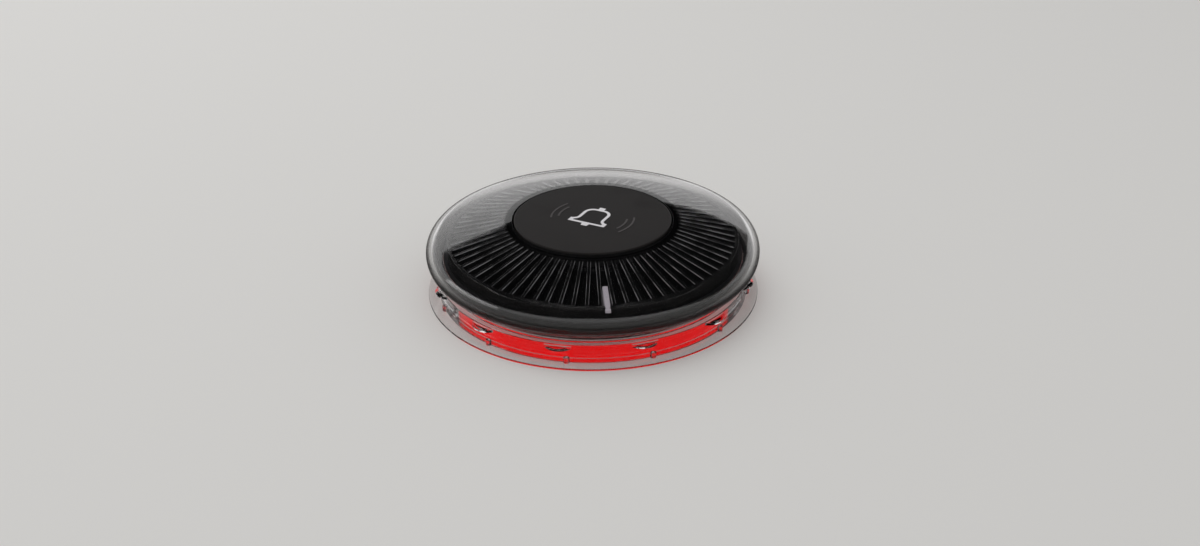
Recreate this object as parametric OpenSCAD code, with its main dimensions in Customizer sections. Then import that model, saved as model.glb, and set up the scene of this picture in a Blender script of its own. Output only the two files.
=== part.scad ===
// Round wireless table call button. A flat centre cap is pressed in a smoked clear dome with a
// bull-nosed rim. Black radial fins stand under the dome, over a clear base lit by a red ring.
// Frame: origin at the centre of the underside, +Z up, +Y towards the top of the bell symbol.

/* [Clear base] */
// Diameter of the base flange and of the dome's rounded rim above it
body_d = 62; // [61:0.5:66]
// Height that the foot pad stands out below the base
pad_proud = 0.1; // [0.1:0.05:0.3]
// Thickness of the flange at the foot of the clear base
flange_t = 0.35; // [0.3:0.05:0.6]
// Width of the flange outside the clear wall
flange_w = 2.2; // [1.9:0.05:2.5]
// Bevel on the flange's edges
flange_bevel = 0.1; // [0.05:0.01:0.12]
// Height of the clear wall above the flange
wall_h = 3.35; // [3.25:0.05:3.8]
// Thickness of the clear wall in front of the light ring
wall_t = 3; // [2.8:0.05:3.2]
// Height of the step inside the top of the clear wall
inner_step = 0.25; // [0.2:0.05:0.4]
// Step in from the clear wall to the neck that carries the dome
neck_step = 1.1; // [0.9:0.05:1.3]
// Thickness of the neck
neck_t = 1.3; // [1:0.1:1.5]
// Bevel on the moulded edges
edge_bevel = 0.15; // [0.05:0.05:0.3]
// Number of half-round tabs round the top of the clear wall
tab_n = 12; // [6:1:14]
// Width of one tab where it meets the wall
tab_w = 4.9; // [3.5:0.1:5.5]
// Distance that a tab stands out from the wall
tab_out = 1.4; // [1:0.1:1.6]
// Thickness of a tab
tab_t = 0.5; // [0.4:0.05:0.8]
// Direction of the first tab round the body, in degrees
tab_start = 15; // [0:1:29]
// Diameter of the small nubs at the foot of the wall
nub_d = 1.1; // [0.8:0.1:1.4]
// Height of the nubs above the flange
nub_h = 1; // [0.5:0.1:1.4]
// Angle from a tab to its nub, in degrees
nub_turn = 3; // [0:0.5:6]

/* [Light ring] */
// Radial thickness of the red light ring
ring_t = 1.2; // [0.9:0.1:1.4]
// Height of the light ring
ring_h = 2.3; // [2.1:0.05:2.8]
// Width of the light ring's lip over the bottom plate's rim
ring_lip_w = 0.45; // [0.3:0.05:0.6]
// Thickness of the light ring's lip
ring_lip_t = 0.6; // [0.4:0.1:1]

/* [Dome] */
// Outer radius of the bull-nosed rim's section
rim_r = 3.3; // [3:0.1:3.6]
// Open height between the clear wall's top and the lip of the rim
lip_gap = 1.4; // [1.2:0.1:1.8]
// Thickness of the dome
dome_t = 1.2; // [1:0.05:1.3]
// Radius of the crown's curve, in section
crown_r = 60; // [50:1:90]
// Height of the crown's inner edge above the middle of the rim's section
crown_rise = 5.4; // [5.2:0.1:6.2]
// Direction in which the rim's section ends, under the lip, in degrees
lip_end = -84; // [-86:1:-70]
// Thickness of the sealing ring between the dome and the neck
dome_seal_d = 0.8; // [0.5:0.1:0.9]

/* [Cap and symbol] */
// Diameter of the centre cap
cap_d = 29.2; // [28:0.1:29.6]
// Gap round the cap
cap_gap = 0.35; // [0.3:0.05:0.5]
// Thickness of the cap's plate
cap_t = 1.15; // [1:0.05:1.3]
// Height of the cap's face above the dome's inner edge
cap_proud = 0.15; // [0:0.05:0.5]
// Distance that the cap is pressed
press_travel = 0.3; // [0.2:0.05:0.35]
// Thickness of the cap's skirt
skirt_t = 0.95; // [0.8:0.05:1.2]
// Depth of the cap's skirt below its plate
skirt_h = 1.5; // [1.3:0.05:1.6]
// Distance from the cap's edge in to its skirt
skirt_in = 0.15; // [0.1:0.05:0.2]
// Diameter of the cap's stem over the switch
stem_d = 4; // [3:0.1:5]
// Directions of the cap's hooked legs start here, in degrees
leg_start = 30; // [0:1:119]
// Width of a leg round the cap, in degrees
leg_span = 14; // [8:1:20]
// Thickness of a leg
leg_t = 0.8; // [0.6:0.05:1]
// Distance that a leg's hook stands out under the guide's ledge
hook_out = 1; // [0.7:0.05:1.2]
// Thickness of a hook
hook_t = 0.6; // [0.4:0.05:0.7]
// Thickness of the guide's ledge
ledge_t = 0.6; // [0.4:0.05:0.7]
// Width of the guide's ledge
ledge_w = 1.65; // [1.4:0.05:1.8]
// Gap between a leg and the ledge
leg_gap = 0.2; // [0.15:0.05:0.3]
// Thickness of the soft ring between the ledge and the cap's skirt
button_seal_t = 0.7; // [0.5:0.05:0.8]
// Gap that is left over the soft ring when the cap is pressed
button_seal_gap = 0.2; // [0.1:0.05:0.3]
// Thickness of the printed symbol
print_t = 0.04; // [0.03:0.01:0.06]
// Width of the symbol's lines
stroke_w = 0.56; // [0.4:0.02:0.7]
// Width of the bell's lip in the symbol
bell_w = 7.4; // [6.8:0.1:8]
// Width of the bell above its lip
bell_body_w = 5.3; // [4.8:0.1:5.8]
// Height of the bell from the lip to the shoulders
bell_h = 6.4; // [5.8:0.1:6.8]
// Distance from the cap's centre down to the bell's lip
bell_drop = 2.85; // [2.4:0.05:3.2]
// Height of the bell's lip
bell_lip_h = 1.35; // [1:0.05:1.6]
// Radius of the bell's shoulders
bell_shoulder_r = 1.9; // [1.2:0.1:2.2]
// Width of the knob over the bell
knob_w = 1.2; // [0.8:0.1:1.6]
// Height of the knob, and of the clapper below
knob_h = 0.85; // [0.6:0.05:1.1]
// Width of the clapper under the bell
clapper_w = 1.6; // [1.2:0.1:2]
// Radii of the inner pair of sound arcs
wave_r = 6.4; // [6.2:0.1:6.8]
// Step from the inner pair of sound arcs to the outer pair
wave_step = 1.3; // [1:0.1:1.6]
// Half the sweep of an inner sound arc, in degrees
wave_a = 20; // [14:1:26]
// Width of a sound arc
wave_w = 0.36; // [0.25:0.01:0.5]

/* [Fins] */
// Number of fins under the dome
fin_n = 72; // [48:1:76]
// Thickness of one fin
fin_t = 0.65; // [0.5:0.05:0.7]
// Height of a fin above the floor between the fins
fin_h = 1.6; // [1.4:0.05:1.7]
// Gap between the guide's wall and the fin ring
fin_ring_gap = 0.1; // [0.05:0.05:0.2]
// Distance from the dome's edge wall to the fins
fin_start = 0.85; // [0.8:0.05:1]
// Distance from the middle of the rim's section in to the fins
fin_end = 1.4; // [1.3:0.1:2]
// Gap between a fin's inner corner and the dome
fin_top_gap = 0.1; // [0.08:0.01:0.15]
// Drop of a fin's top edge from its inner to its outer end
fin_drop = 2.6; // [2.2:0.05:2.7]
// Thickness of the fin ring's floor and walls
fin_floor_t = 0.6; // [0.5:0.05:0.7]
// Thickness of the low wall round the inner ends of the fins
fin_inner_t = 0.55; // [0.45:0.05:0.7]
// Distance from the fins' inner tops down to that wall's top
fin_inner_drop = 1.1; // [0.8:0.1:1.5]
// Width of the grey indicator bar that stands between two fins
bar_w = 0.93; // [0.6:0.01:1]
// Length of the indicator bar, measured across the body
bar_l = 5.3; // [4.8:0.1:5.7]
// Distance that the indicator bar reaches out past the wall round the fins
bar_over = 0.6; // [0.4:0.05:0.7]
// Height of the indicator bar above the fins beside it
bar_proud = 0.12; // [0.05:0.01:0.2]
// Length of the bar's foot over its light
bar_foot_l = 1.4; // [1.2:0.1:1.6]
// Number of the gap between fins that the bar stands in, counted from the right of the body
bar_slot_n = 60; // [58:1:61]

/* [Inside] */
// Thickness of the bottom plate
plate_t = 1.2; // [1:0.1:1.4]
// Height of the bottom plate's underside above the clear base's underside
plate_lift = 0.1; // [0.05:0.05:0.2]
// Distance from the flange's edge in to the ring-shaped foot pad
pad_in = 10; // [9.5:0.1:10.5]
// Radial width of the foot pad
pad_w = 6; // [4:0.5:6]
// Depth of the foot pad's recess in the bottom plate
pad_recess = 0.3; // [0.2:0.05:0.4]
// Diameter of the coin cell
cell_d = 20; // [16:0.5:20]
// Thickness of the coin cell
cell_h = 3.2; // [2.5:0.1:3.2]
// Thickness of the circuit board
board_t = 1; // [0.8:0.1:1.2]
// Height of the gap between the coin cell and the board
contact_gap = 1.05; // [0.9:0.05:1.2]
// Thickness of the chassis plate
chassis_t = 0.7; // [0.6:0.05:0.9]
// Height of the chassis plate above the board
chassis_lift = 0.3; // [0.2:0.05:0.5]
// Thickness of the wall that guides the cap
guide_t = 0.6; // [0.5:0.05:0.6]
// Width of the chassis plate that lies over the board's edge
chassis_lap = 1; // [0.8:0.1:1.4]
// Diameter of the chassis posts, which stand between the board and the light ring
post_d = 2.35; // [2.2:0.05:2.6]
// Number of the chassis posts, and of the pillars between them
post_n = 3; // [3:1:4]
// Direction of the first post, in degrees
post_start = 90; // [80:1:100]
// Diameter of the pillars that carry the board
pillar_d = 2.4; // [2:0.1:2.6]
// Distance from the board's edge in to the pillars' centres
pillar_in = 2.7; // [2.4:0.1:3]
// Diameter of the screws' shanks
screw_d = 1.2; // [1:0.1:1.3]
// Diameter of the screws' heads
screw_head_d = 2.3; // [2:0.1:2.4]
// Thickness of the screws' heads
screw_head_t = 0.5; // [0.4:0.05:0.6]
// Depth of the screws' heads below the plate's face
screw_sunk = 0.15; // [0.1:0.05:0.2]

/* [Switch] */
// Width of the push switch's square body
switch_w = 6; // [5.8:0.1:6.4]
// Height of the push switch's body above the board
switch_h = 3.2; // [3:0.1:3.4]
// Depth of the round well in the switch's body
well_h = 2; // [1.8:0.1:2.2]
// Gap between the plunger's foot and the well
well_gap = 0.4; // [0.3:0.05:0.45]
// Diameter of the switch's plunger
plunger_d = 3.4; // [3:0.1:3.4]
// Height of the plunger above the switch's cover
plunger_up = 1.4; // [1.2:0.1:1.5]
// Distance that the plunger's foot stands out
plunger_foot_w = 0.5; // [0.3:0.05:0.5]
// Thickness of the plunger's foot
plunger_foot_t = 0.6; // [0.4:0.05:0.7]
// Thickness of the switch's metal cover
cover_t = 0.25; // [0.2:0.05:0.3]
// Thickness of the snap disc
disc_t = 0.12; // [0.08:0.01:0.15]
// Height of the snap disc's middle
disc_rise = 0.5; // [0.3:0.05:0.5]
// Length of a solder pin outside the switch
pin_l = 1.1; // [0.8:0.1:1.4]
// Width of a solder pin
pin_w = 0.7; // [0.5:0.1:0.9]
// Distance between two pins on one side
pin_pitch = 4.5; // [4:0.1:5]
// Thickness of a solder pin
pin_t = 0.25; // [0.2:0.05:0.3]

/* [Board parts] */
// Length of a ring light, measured across the body
led_l = 1.4; // [1:0.1:1.6]
// Width of a ring light
led_w = 3; // [2:0.1:3.4]
// Height of a ring light under the board
led_h = 1; // [0.6:0.1:1.2]
// Height of the status light
status_led_h = 0.6; // [0.5:0.05:0.7]
// Width of the radio chip
chip_w = 4; // [3:0.1:4.5]
// Height of the radio chip
chip_h = 0.8; // [0.6:0.1:0.9]
// Length of the crystal's can
crystal_l = 3.2; // [2.5:0.1:3.4]
// Width of the crystal's can
crystal_w = 2.5; // [2:0.1:2.8]
// Height of the crystal's can
crystal_h = 0.7; // [0.5:0.1:0.9]
// Length of a chip resistor or capacitor
chip_part_l = 1.6; // [1:0.1:1.8]
// Width of a chip resistor or capacitor
chip_part_w = 0.8; // [0.5:0.1:1]
// Height of a chip resistor or capacitor
chip_part_h = 0.6; // [0.4:0.05:0.7]
// Angle between two chip parts of a row, in degrees
chip_part_a = 14; // [10:1:16]
// Width of the antenna's copper track
track_w = 0.8; // [0.5:0.1:1]
// Direction in which the antenna's loop starts, in degrees
antenna_start = 150; // [120:5:180]
// Sweep of the antenna's loop, in degrees
antenna_sweep = 140; // [60:5:145]
// Thickness of the antenna's copper track
track_t = 0.05; // [0.04:0.01:0.08]
// Thickness of the battery terminals' strips
strip_t = 0.2; // [0.15:0.05:0.3]
// Width of the battery terminals' strips
strip_w = 3; // [2.4:0.1:3.4]
// Gap between the door's skirt and the ring that centres the coin cell
holder_gap = 0.2; // [0.1:0.05:0.3]
// Thickness of the ring that centres the coin cell
holder_t = 1.2; // [0.8:0.1:1.3]

/* [Battery door] */
// Thickness of the door's floor
door_t = 1.05; // [0.9:0.05:1.2]
// Gap round the coin cell
cell_gap = 0.3; // [0.25:0.05:0.4]
// Thickness of the door's skirt
door_skirt_t = 0.6; // [0.5:0.05:0.8]
// Gap round the door
door_gap = 0.1; // [0.08:0.01:0.2]
// Distance that the door's lugs stand out from its skirt
lug_out = 1; // [0.8:0.1:1.2]
// Thickness of a lug
lug_t = 0.6; // [0.5:0.05:0.7]
// Gap between the lugs and the plate they turn over
lug_gap = 0.15; // [0.1:0.05:0.2]
// Thickness of the wall round the door's lugs
collar_t = 1; // [0.8:0.1:1.3]
// Height of that wall above the lugs
collar_over = 0.5; // [0.3:0.1:0.7]
// Width of a lug round the door, in degrees
lug_span = 22; // [16:1:26]
// Angle that a notch for a lug is wider than the lug, on each side, in degrees
notch_over = 2; // [1:0.5:3]
// Turn that frees the door, in degrees
door_turn = 40; // [30:1:45]
// Width of the slot for a coin
coin_slot_w = 1.8; // [1.4:0.1:2.2]
// Length of the slot for a coin
coin_slot_l = 14; // [10:0.5:15]
// Depth of the slot for a coin
coin_slot_depth = 0.6; // [0.4:0.05:0.7]
// Thickness of the door's sealing ring
door_seal_d = 0.5; // [0.4:0.05:0.5]
// Height of the sealing ring's groove above the door's underside
door_seal_up = 0.3; // [0.25:0.05:0.35]

/* [Clearances] */
// Gap between pieces that lie face to face
face_gap = 0.05; // [0.04:0.01:0.08]
// Gap round a piece that is pushed into another by hand
fit_gap = 0.1; // [0.05:0.01:0.15]
// Gap between a spring or soft ring and what it presses on
touch_gap = 0.02; // [0.01:0.01:0.03]
// Gap between a screw's thread and its post
thread_gap = 0.03; // [0.02:0.01:0.05]

/* [Hidden] */
$fn = 96;
cut = 1;
cut_a = 2;

// Base: radii and heights, worked out from the flange inwards and upwards
outer_r = body_d / 2;
flange_top = pad_proud + flange_t;
wall_r = outer_r - flange_w;
wall_top = flange_top + wall_h;
base_bore_r = wall_r - wall_t;
neck_r = wall_r - neck_step;
neck_bore_r = neck_r - neck_t;
tab_r = (pow(tab_w / 2, 2) + pow(tab_out, 2)) / (2 * tab_out);
tab_top = wall_top - edge_bevel - face_gap;
ring_r = base_bore_r - fit_gap;
ring_bore_r = ring_r - ring_t;
ring_z = pad_proud + plate_lift;
ring_top = ring_z + ring_h;
ring_lip_r = ring_bore_r - ring_lip_w;

// Dome: the crown's arc leaves the bore's edge and meets the rim's arc without a corner
cap_r = cap_d / 2;
dome_bore_r = cap_r + cap_gap;
rim_c = [outer_r - rim_r, wall_top + lip_gap + rim_r];
bore_edge = [dome_bore_r, rim_c[1] + crown_rise];
span = rim_c - bore_edge;
span_l = norm(span);
along = (pow(crown_r, 2) - pow(crown_r - rim_r, 2) + pow(span_l, 2)) / (2 * span_l);
below = sqrt(pow(crown_r, 2) - pow(along, 2));
crown_c = bore_edge + (along * span + below * [span[1], -span[0]]) / span_l;
join_a = atan2(rim_c[1] - crown_c[1], rim_c[0] - crown_c[0]);
crown_a = atan2(bore_edge[1] - crown_c[1], bore_edge[0] - crown_c[0]) + cut_a;
function dome_under(r) = crown_c[1] + sqrt(pow(crown_r - dome_t, 2) - pow(r - crown_c[0], 2));
dome_seal_r = dome_seal_d / 2;
seal_reach = rim_r - dome_t - dome_seal_r - face_gap;
seal_c_r = neck_r + dome_seal_r + face_gap;
seal_c_z = rim_c[1] - sqrt(pow(seal_reach, 2) - pow(seal_c_r - rim_c[0], 2));

// Battery door, coin cell and board, from the underside up
plate_z = pad_proud + plate_lift;
plate_top = plate_z + plate_t;
plate_r = ring_bore_r - fit_gap;
pad_r = outer_r - pad_in;
pad_bore_r = pad_r - pad_w;
cell_r = cell_d / 2;
door_floor_top = plate_z + door_t;
cell_z = door_floor_top + face_gap;
cell_top = cell_z + cell_h;
skirt_bore_r = cell_r + cell_gap;
door_r = skirt_bore_r + door_skirt_t;
door_hole_r = door_r + door_gap;
lug_r = door_r + lug_out;
groove_r = lug_r + fit_gap;
notch_r = lug_r + fit_gap / 2;
notch_a = lug_span / 2 + notch_over;
collar_r = groove_r + collar_t;
lug_z = plate_top + lug_gap;
door_top = lug_z + lug_t;
collar_top = door_top + collar_over;
board_z = cell_top + contact_gap;
board_top = board_z + board_t;
board_r = ring_lip_r - post_d - 2 * fit_gap;
holder_z = door_top + holder_gap;
holder_bore_r = cell_r + cell_gap - fit_gap;

// Chassis and neck, which end at one height
chassis_z = board_top + chassis_lift;
chassis_top = chassis_z + chassis_t;
chassis_r = neck_r - fit_gap;
post_ring_r = board_r + fit_gap + post_d / 2;
pillar_ring_r = board_r - pillar_in;
pillar_start = post_start - 180 / post_n;
screw_r = screw_d / 2;
screw_bore_r = screw_r + thread_gap;
screw_head_r = screw_head_d / 2;
screw_seat_z = plate_z + screw_sunk + screw_head_t;

// Cap, guide and switch, from the cap's face down
cap_top = bore_edge[1] + cap_proud;
cap_under = cap_top - cap_t;
skirt_r = cap_r - skirt_in;
skirt_z = cap_under - skirt_h;
guide_r = dome_bore_r + guide_t;
guide_top = dome_under(guide_r) - face_gap;
seal_top = skirt_z - press_travel - button_seal_gap;
ledge_top = seal_top - button_seal_t;
ledge_r = dome_bore_r - ledge_w;
hook_top = ledge_top - ledge_t - fit_gap;
leg_r = ledge_r - leg_gap;
hook_r = leg_r + hook_out;
cover_z = board_top + switch_h;
plunger_r = plunger_d / 2;
plunger_top = cover_z + cover_t + plunger_up;
plunger_foot_r = plunger_r + plunger_foot_w;
well_r = plunger_foot_r + well_gap;

// Fins, which follow the underside of the dome
fin_r0 = dome_bore_r + fin_start;
fin_r1 = rim_c[0] - fin_end;
fin_top0 = dome_under(fin_r0) - fin_top_gap;
fin_top1 = fin_top0 - fin_drop;
function fin_top(r) = fin_top0 - fin_drop * (r - fin_r0) / (fin_r1 - fin_r0);
fin_bore_r = guide_r + fin_ring_gap;
fin_wall_r = fin_r1 + fin_floor_t;
fin_inner_r = fin_bore_r + fin_inner_t;
bar_r1 = fin_wall_r + bar_over;
bar_r0 = bar_r1 - bar_l;
bar_foot_r = board_r - fit_gap - bar_foot_l;
bar_a = (bar_slot_n + 0.5) * 360 / fin_n;
bar_foot_z = board_top + status_led_h + fit_gap;

// A tube or disc standing on z0
module tube(r_out, r_in, z0, z1) {
  translate([0, 0, z0])
    difference() {
      cylinder(r = r_out, h = z1 - z0);
      if (r_in > 0)
        translate([0, 0, -cut]) cylinder(r = r_in, h = z1 - z0 + 2 * cut);
    }
}

// A plane fan of directions a0 to a1 about c, wide enough to clip a circle of radius r
module fan(c, r, a0, a1) {
  steps = 4;
  rays = [for (i = [0 : steps]) a0 + (a1 - a0) * i / steps];
  polygon(concat([c], [for (a = rays) c + 2 * r * [cos(a), sin(a)]]));
}

// A plane band of thickness t inside a circle of radius r about c
module arc_band(c, r, t, a0, a1) {
  intersection() {
    difference() {
      translate(c) circle(r = r, $fn = 360);
      translate(c) circle(r = r - t, $fn = 360);
    }
    fan(c, r, a0, a1);
  }
}

// Part of a ring, from direction a0 to a1
module ring_part(r_out, r_in, z0, z1, a0, a1) {
  translate([0, 0, z0])
    linear_extrude(z1 - z0)
      intersection() {
        difference() {
          circle(r = r_out);
          circle(r = r_in);
        }
        fan([0, 0], r_out, a0, a1);
      }
}

// Copies of a child, turned round the axis from a first direction
module around(n, first = 0) {
  for (i = [0 : n - 1])
    rotate([0, 0, first + i * 360 / n])
      children();
}

module clear_base() {
  color([0.85, 0.8, 0.8, 0.45])
    union() {
      rotate_extrude()
        polygon([
          [base_bore_r, pad_proud], [outer_r - flange_bevel, pad_proud],
          [outer_r, pad_proud + flange_bevel], [outer_r, flange_top - flange_bevel],
          [outer_r - flange_bevel, flange_top], [wall_r, flange_top],
          [wall_r, wall_top - edge_bevel], [wall_r - edge_bevel, wall_top],
          [neck_r, wall_top], [neck_r, chassis_z - face_gap],
          [neck_bore_r, chassis_z - face_gap], [neck_bore_r, wall_top - inner_step],
          [base_bore_r, wall_top - inner_step]
        ]);
      wall_tabs();
      around(tab_n, tab_start + nub_turn)
        translate([wall_r, 0, flange_top - flange_bevel])
          cylinder(d = nub_d, h = nub_h + flange_bevel, $fn = 32);
    }
}

// Half-round tabs that stand out at the top of the clear wall
module wall_tabs() {
  difference() {
    around(tab_n, tab_start)
      translate([wall_r + tab_out - tab_r, 0, tab_top - tab_t])
        cylinder(r = tab_r, h = tab_t);
    translate([0, 0, -cut]) cylinder(r = base_bore_r + wall_t / 2, h = wall_top + 2 * cut);
  }
}

// The ring's inner lip stands on the bottom plate's rim
module light_ring() {
  lip_z = plate_top + face_gap;
  color([0.9, 0.02, 0.03])
    rotate_extrude()
      polygon([
        [ring_bore_r, ring_z], [ring_r, ring_z], [ring_r, ring_top],
        [ring_bore_r, ring_top], [ring_bore_r, lip_z + ring_lip_t],
        [ring_lip_r, lip_z + ring_lip_t], [ring_lip_r, lip_z], [ring_bore_r, lip_z]
      ]);
}

module bottom_plate() {
  color([0.08, 0.08, 0.09])
    difference() {
      union() {
        tube(plate_r, 0, plate_z, plate_top);
        tube(collar_r, 0, plate_z, collar_top);
        around(post_n, pillar_start)
          translate([pillar_ring_r, 0, plate_top - cut / 2])
            cylinder(d = pillar_d, h = board_z - face_gap - plate_top + cut / 2);
      }
      translate([0, 0, -cut]) cylinder(r = door_hole_r, h = collar_top + 2 * cut);
      translate([0, 0, plate_top]) cylinder(r = groove_r, h = collar_top);
      around(3, -door_turn)
        ring_part(notch_r, cell_r, plate_z - cut, plate_top + cut, -notch_a, notch_a);
      tube(pad_r + fit_gap, pad_bore_r - fit_gap, plate_z - cut, plate_z + pad_recess);
      around(post_n, post_start)
        translate([post_ring_r, 0, -cut]) {
          cylinder(r = screw_r + fit_gap, h = plate_top + 2 * cut, $fn = 32);
          cylinder(r = screw_head_r + fit_gap, h = screw_seat_z + cut, $fn = 32);
        }
    }
}

module foot_pad() {
  color([0.12, 0.12, 0.12])
    tube(pad_r, pad_bore_r, 0, plate_z + pad_recess - face_gap);
}

// Cross-headed screws, up through the bottom plate into the chassis posts
module base_screws() {
  slot = [screw_head_d * 0.65, screw_head_d * 0.15, screw_head_t];
  color([0.6, 0.6, 0.62])
    around(post_n, post_start)
      translate([post_ring_r, 0, plate_z + screw_sunk])
        difference() {
          union() {
            cylinder(r = screw_head_r, h = screw_head_t - face_gap, $fn = 32);
            cylinder(r = screw_r, h = board_z - plate_z - screw_sunk, $fn = 32);
          }
          for (turn = [0, 90])
            rotate([0, 0, turn]) cube(slot, center = true);
        }
}

module chassis() {
  color([0.06, 0.06, 0.07])
    difference() {
      union() {
        tube(chassis_r, board_r - chassis_lap, chassis_z, chassis_top);
        tube(board_r - fit_gap, board_r - chassis_lap, board_top + face_gap, chassis_top);
        around(post_n, post_start)
          translate([post_ring_r, 0, plate_top + face_gap])
            cylinder(d = post_d, h = chassis_top - plate_top - face_gap);
      }
      around(post_n, post_start)
        translate([post_ring_r, 0, plate_top])
          cylinder(r = screw_bore_r, h = board_z + fit_gap - plate_top, $fn = 32);
      rotate([0, 0, bar_a])
        translate([bar_foot_r - fit_gap, -bar_w / 2 - fit_gap, board_top])
          cube([bar_foot_l + 2 * fit_gap, bar_w + 2 * fit_gap, chassis_top + cut - board_top]);
    }
}

module circuit_board() {
  color([0.05, 0.25, 0.12])
    tube(board_r, 0, board_z, board_top);
}

// Side-firing lights under the board's edge, one behind each tab
module ring_leds() {
  color([0.95, 0.9, 0.85])
    around(tab_n, tab_start)
      translate([board_r - led_l - fit_gap, -led_w / 2, board_z - led_h])
        cube([led_l, led_w, led_h]);
}

module status_led() {
  color([0.95, 0.95, 0.9])
    rotate([0, 0, bar_a])
      translate([bar_foot_r, -bar_w / 2, board_top])
        cube([bar_foot_l, bar_w, status_led_h]);
}

// The chip lies behind the switch, inside the legs of the cap
module radio_chip() {
  color([0.1, 0.1, 0.1])
    translate([-chip_w / 2, switch_w / 2 + pin_l, board_top])
      cube([chip_w, chip_w, chip_h]);
}

module crystal() {
  color([0.75, 0.75, 0.72])
    translate([chip_w / 2 + pin_l, switch_w / 2 + pin_l, board_top])
      cube([crystal_l, crystal_w, crystal_h]);
}

// Chip resistors and capacitors in two curved rows on the board
module board_parts() {
  inner_row = [leg_r - leg_t - 1.5 * chip_part_l, 6, 150];
  outer_row = [(guide_r + board_r - chassis_lap - chip_part_l) / 2, 8, 20];
  color([0.55, 0.42, 0.3])
    for (row = [inner_row, outer_row], i = [0 : row[1] - 1])
      rotate([0, 0, row[2] + i * chip_part_a])
        translate([row[0], -chip_part_w / 2, board_top])
          cube([chip_part_l, chip_part_w, chip_part_h]);
}

// Copper loop near the board's edge
module antenna() {
  track_r = board_r - chassis_lap - track_w;
  color([0.8, 0.5, 0.25])
    rotate([0, 0, antenna_start])
      ring_part(track_r, track_r - track_w, board_top, board_top + track_t, 0, antenna_sweep);
}

// Ring under the board that centres the coin cell, open at the positive terminal
module cell_holder() {
  color([0.1, 0.1, 0.1])
    difference() {
      tube(holder_bore_r + holder_t, holder_bore_r, holder_z, board_z);
      translate([0, -strip_w, 0]) cube([collar_r + cut, 2 * strip_w, board_z + cut]);
    }
}

// The cell's can, and the smaller pole on its upper side
module coin_cell() {
  pole_h = cell_h * 0.08;
  color([0.75, 0.75, 0.76])
    union() {
      tube(cell_r, 0, cell_z, cell_top - pole_h);
      tube(cell_r * 0.89, 0, cell_top - 2 * pole_h, cell_top);
    }
}

// Bent strip against the side of the cell
module positive_terminal() {
  side_r = cell_r + touch_gap;
  foot_r = cell_r * 1.4;
  color([0.8, 0.72, 0.45])
    translate([0, strip_w / 2, 0])
      rotate([90, 0, 0])
        linear_extrude(strip_w)
          polygon([
            [side_r, holder_z], [side_r + strip_t, holder_z],
            [side_r + 2 * strip_t, board_z - strip_t], [foot_r, board_z - strip_t],
            [foot_r, board_z], [side_r + strip_t, board_z]
          ]);
}

// Leaf spring against the cell's upper face
module negative_terminal() {
  touch_z = cell_top + touch_gap;
  foot = cell_r / 2;
  bend = cell_r * 0.1;
  touch = cell_r * 0.35;
  color([0.8, 0.72, 0.45])
    translate([0, strip_w / 2, 0])
      rotate([90, 0, 0])
        linear_extrude(strip_w)
          polygon([
            [-foot, board_z], [-foot, board_z - strip_t], [-bend, board_z - strip_t],
            [touch, touch_z], [foot, touch_z + strip_t], [foot, touch_z + 2 * strip_t],
            [touch, touch_z + strip_t], [strip_t / 2 - bend, board_z]
          ]);
}

module switch_base() {
  color([0.12, 0.12, 0.12])
    translate([0, 0, board_top])
      difference() {
        translate([-switch_w / 2, -switch_w / 2, 0]) cube([switch_w, switch_w, switch_h]);
        translate([0, 0, switch_h - well_h]) cylinder(r = well_r, h = well_h + cut);
      }
}

module switch_pins() {
  color([0.8, 0.8, 0.8])
    for (side = [0, 180], y = [-pin_pitch / 2, pin_pitch / 2])
      rotate([0, 0, side])
        translate([switch_w / 2, y - pin_w / 2, board_top])
          cube([pin_l, pin_w, pin_t]);
}

// Domed metal disc in the switch's well
module snap_disc() {
  disc_r = well_r - fit_gap;
  ball_r = (pow(disc_r, 2) + pow(disc_rise, 2)) / (2 * disc_rise);
  floor_z = cover_z - well_h + touch_gap;
  color([0.85, 0.85, 0.86])
    rotate_extrude()
      intersection() {
        translate([0, floor_z + disc_rise - ball_r])
          difference() {
            circle(r = ball_r);
            circle(r = ball_r - disc_t);
          }
        translate([0, floor_z]) square([disc_r, disc_rise + cut]);
      }
}

module switch_cover() {
  color([0.75, 0.75, 0.76])
    difference() {
      translate([-switch_w / 2, -switch_w / 2, cover_z]) cube([switch_w, switch_w, cover_t]);
      translate([0, 0, cover_z - cut]) cylinder(r = plunger_r + face_gap, h = cover_t + 2 * cut);
    }
}

// The plunger moves with the cap and rests under the cap's stem
module switch_plunger() {
  foot_top = cover_z - face_gap;
  color([0.1, 0.1, 0.1])
    union() {
      tube(plunger_r, 0, foot_top - plunger_foot_t, plunger_top);
      tube(plunger_foot_r, 0, foot_top - plunger_foot_t, foot_top);
    }
}

// Wall round the cap, with a ledge that the cap's hooks catch under
module button_guide() {
  color([0.07, 0.07, 0.08])
    union() {
      tube(guide_r, dome_bore_r, board_top, guide_top);
      tube(dome_bore_r + guide_t / 2, ledge_r, ledge_top - ledge_t, ledge_top);
    }
}

module button_seal() {
  color([0.2, 0.2, 0.2])
    tube(dome_bore_r - fit_gap, ledge_r + fit_gap, ledge_top + touch_gap, seal_top);
}

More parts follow.
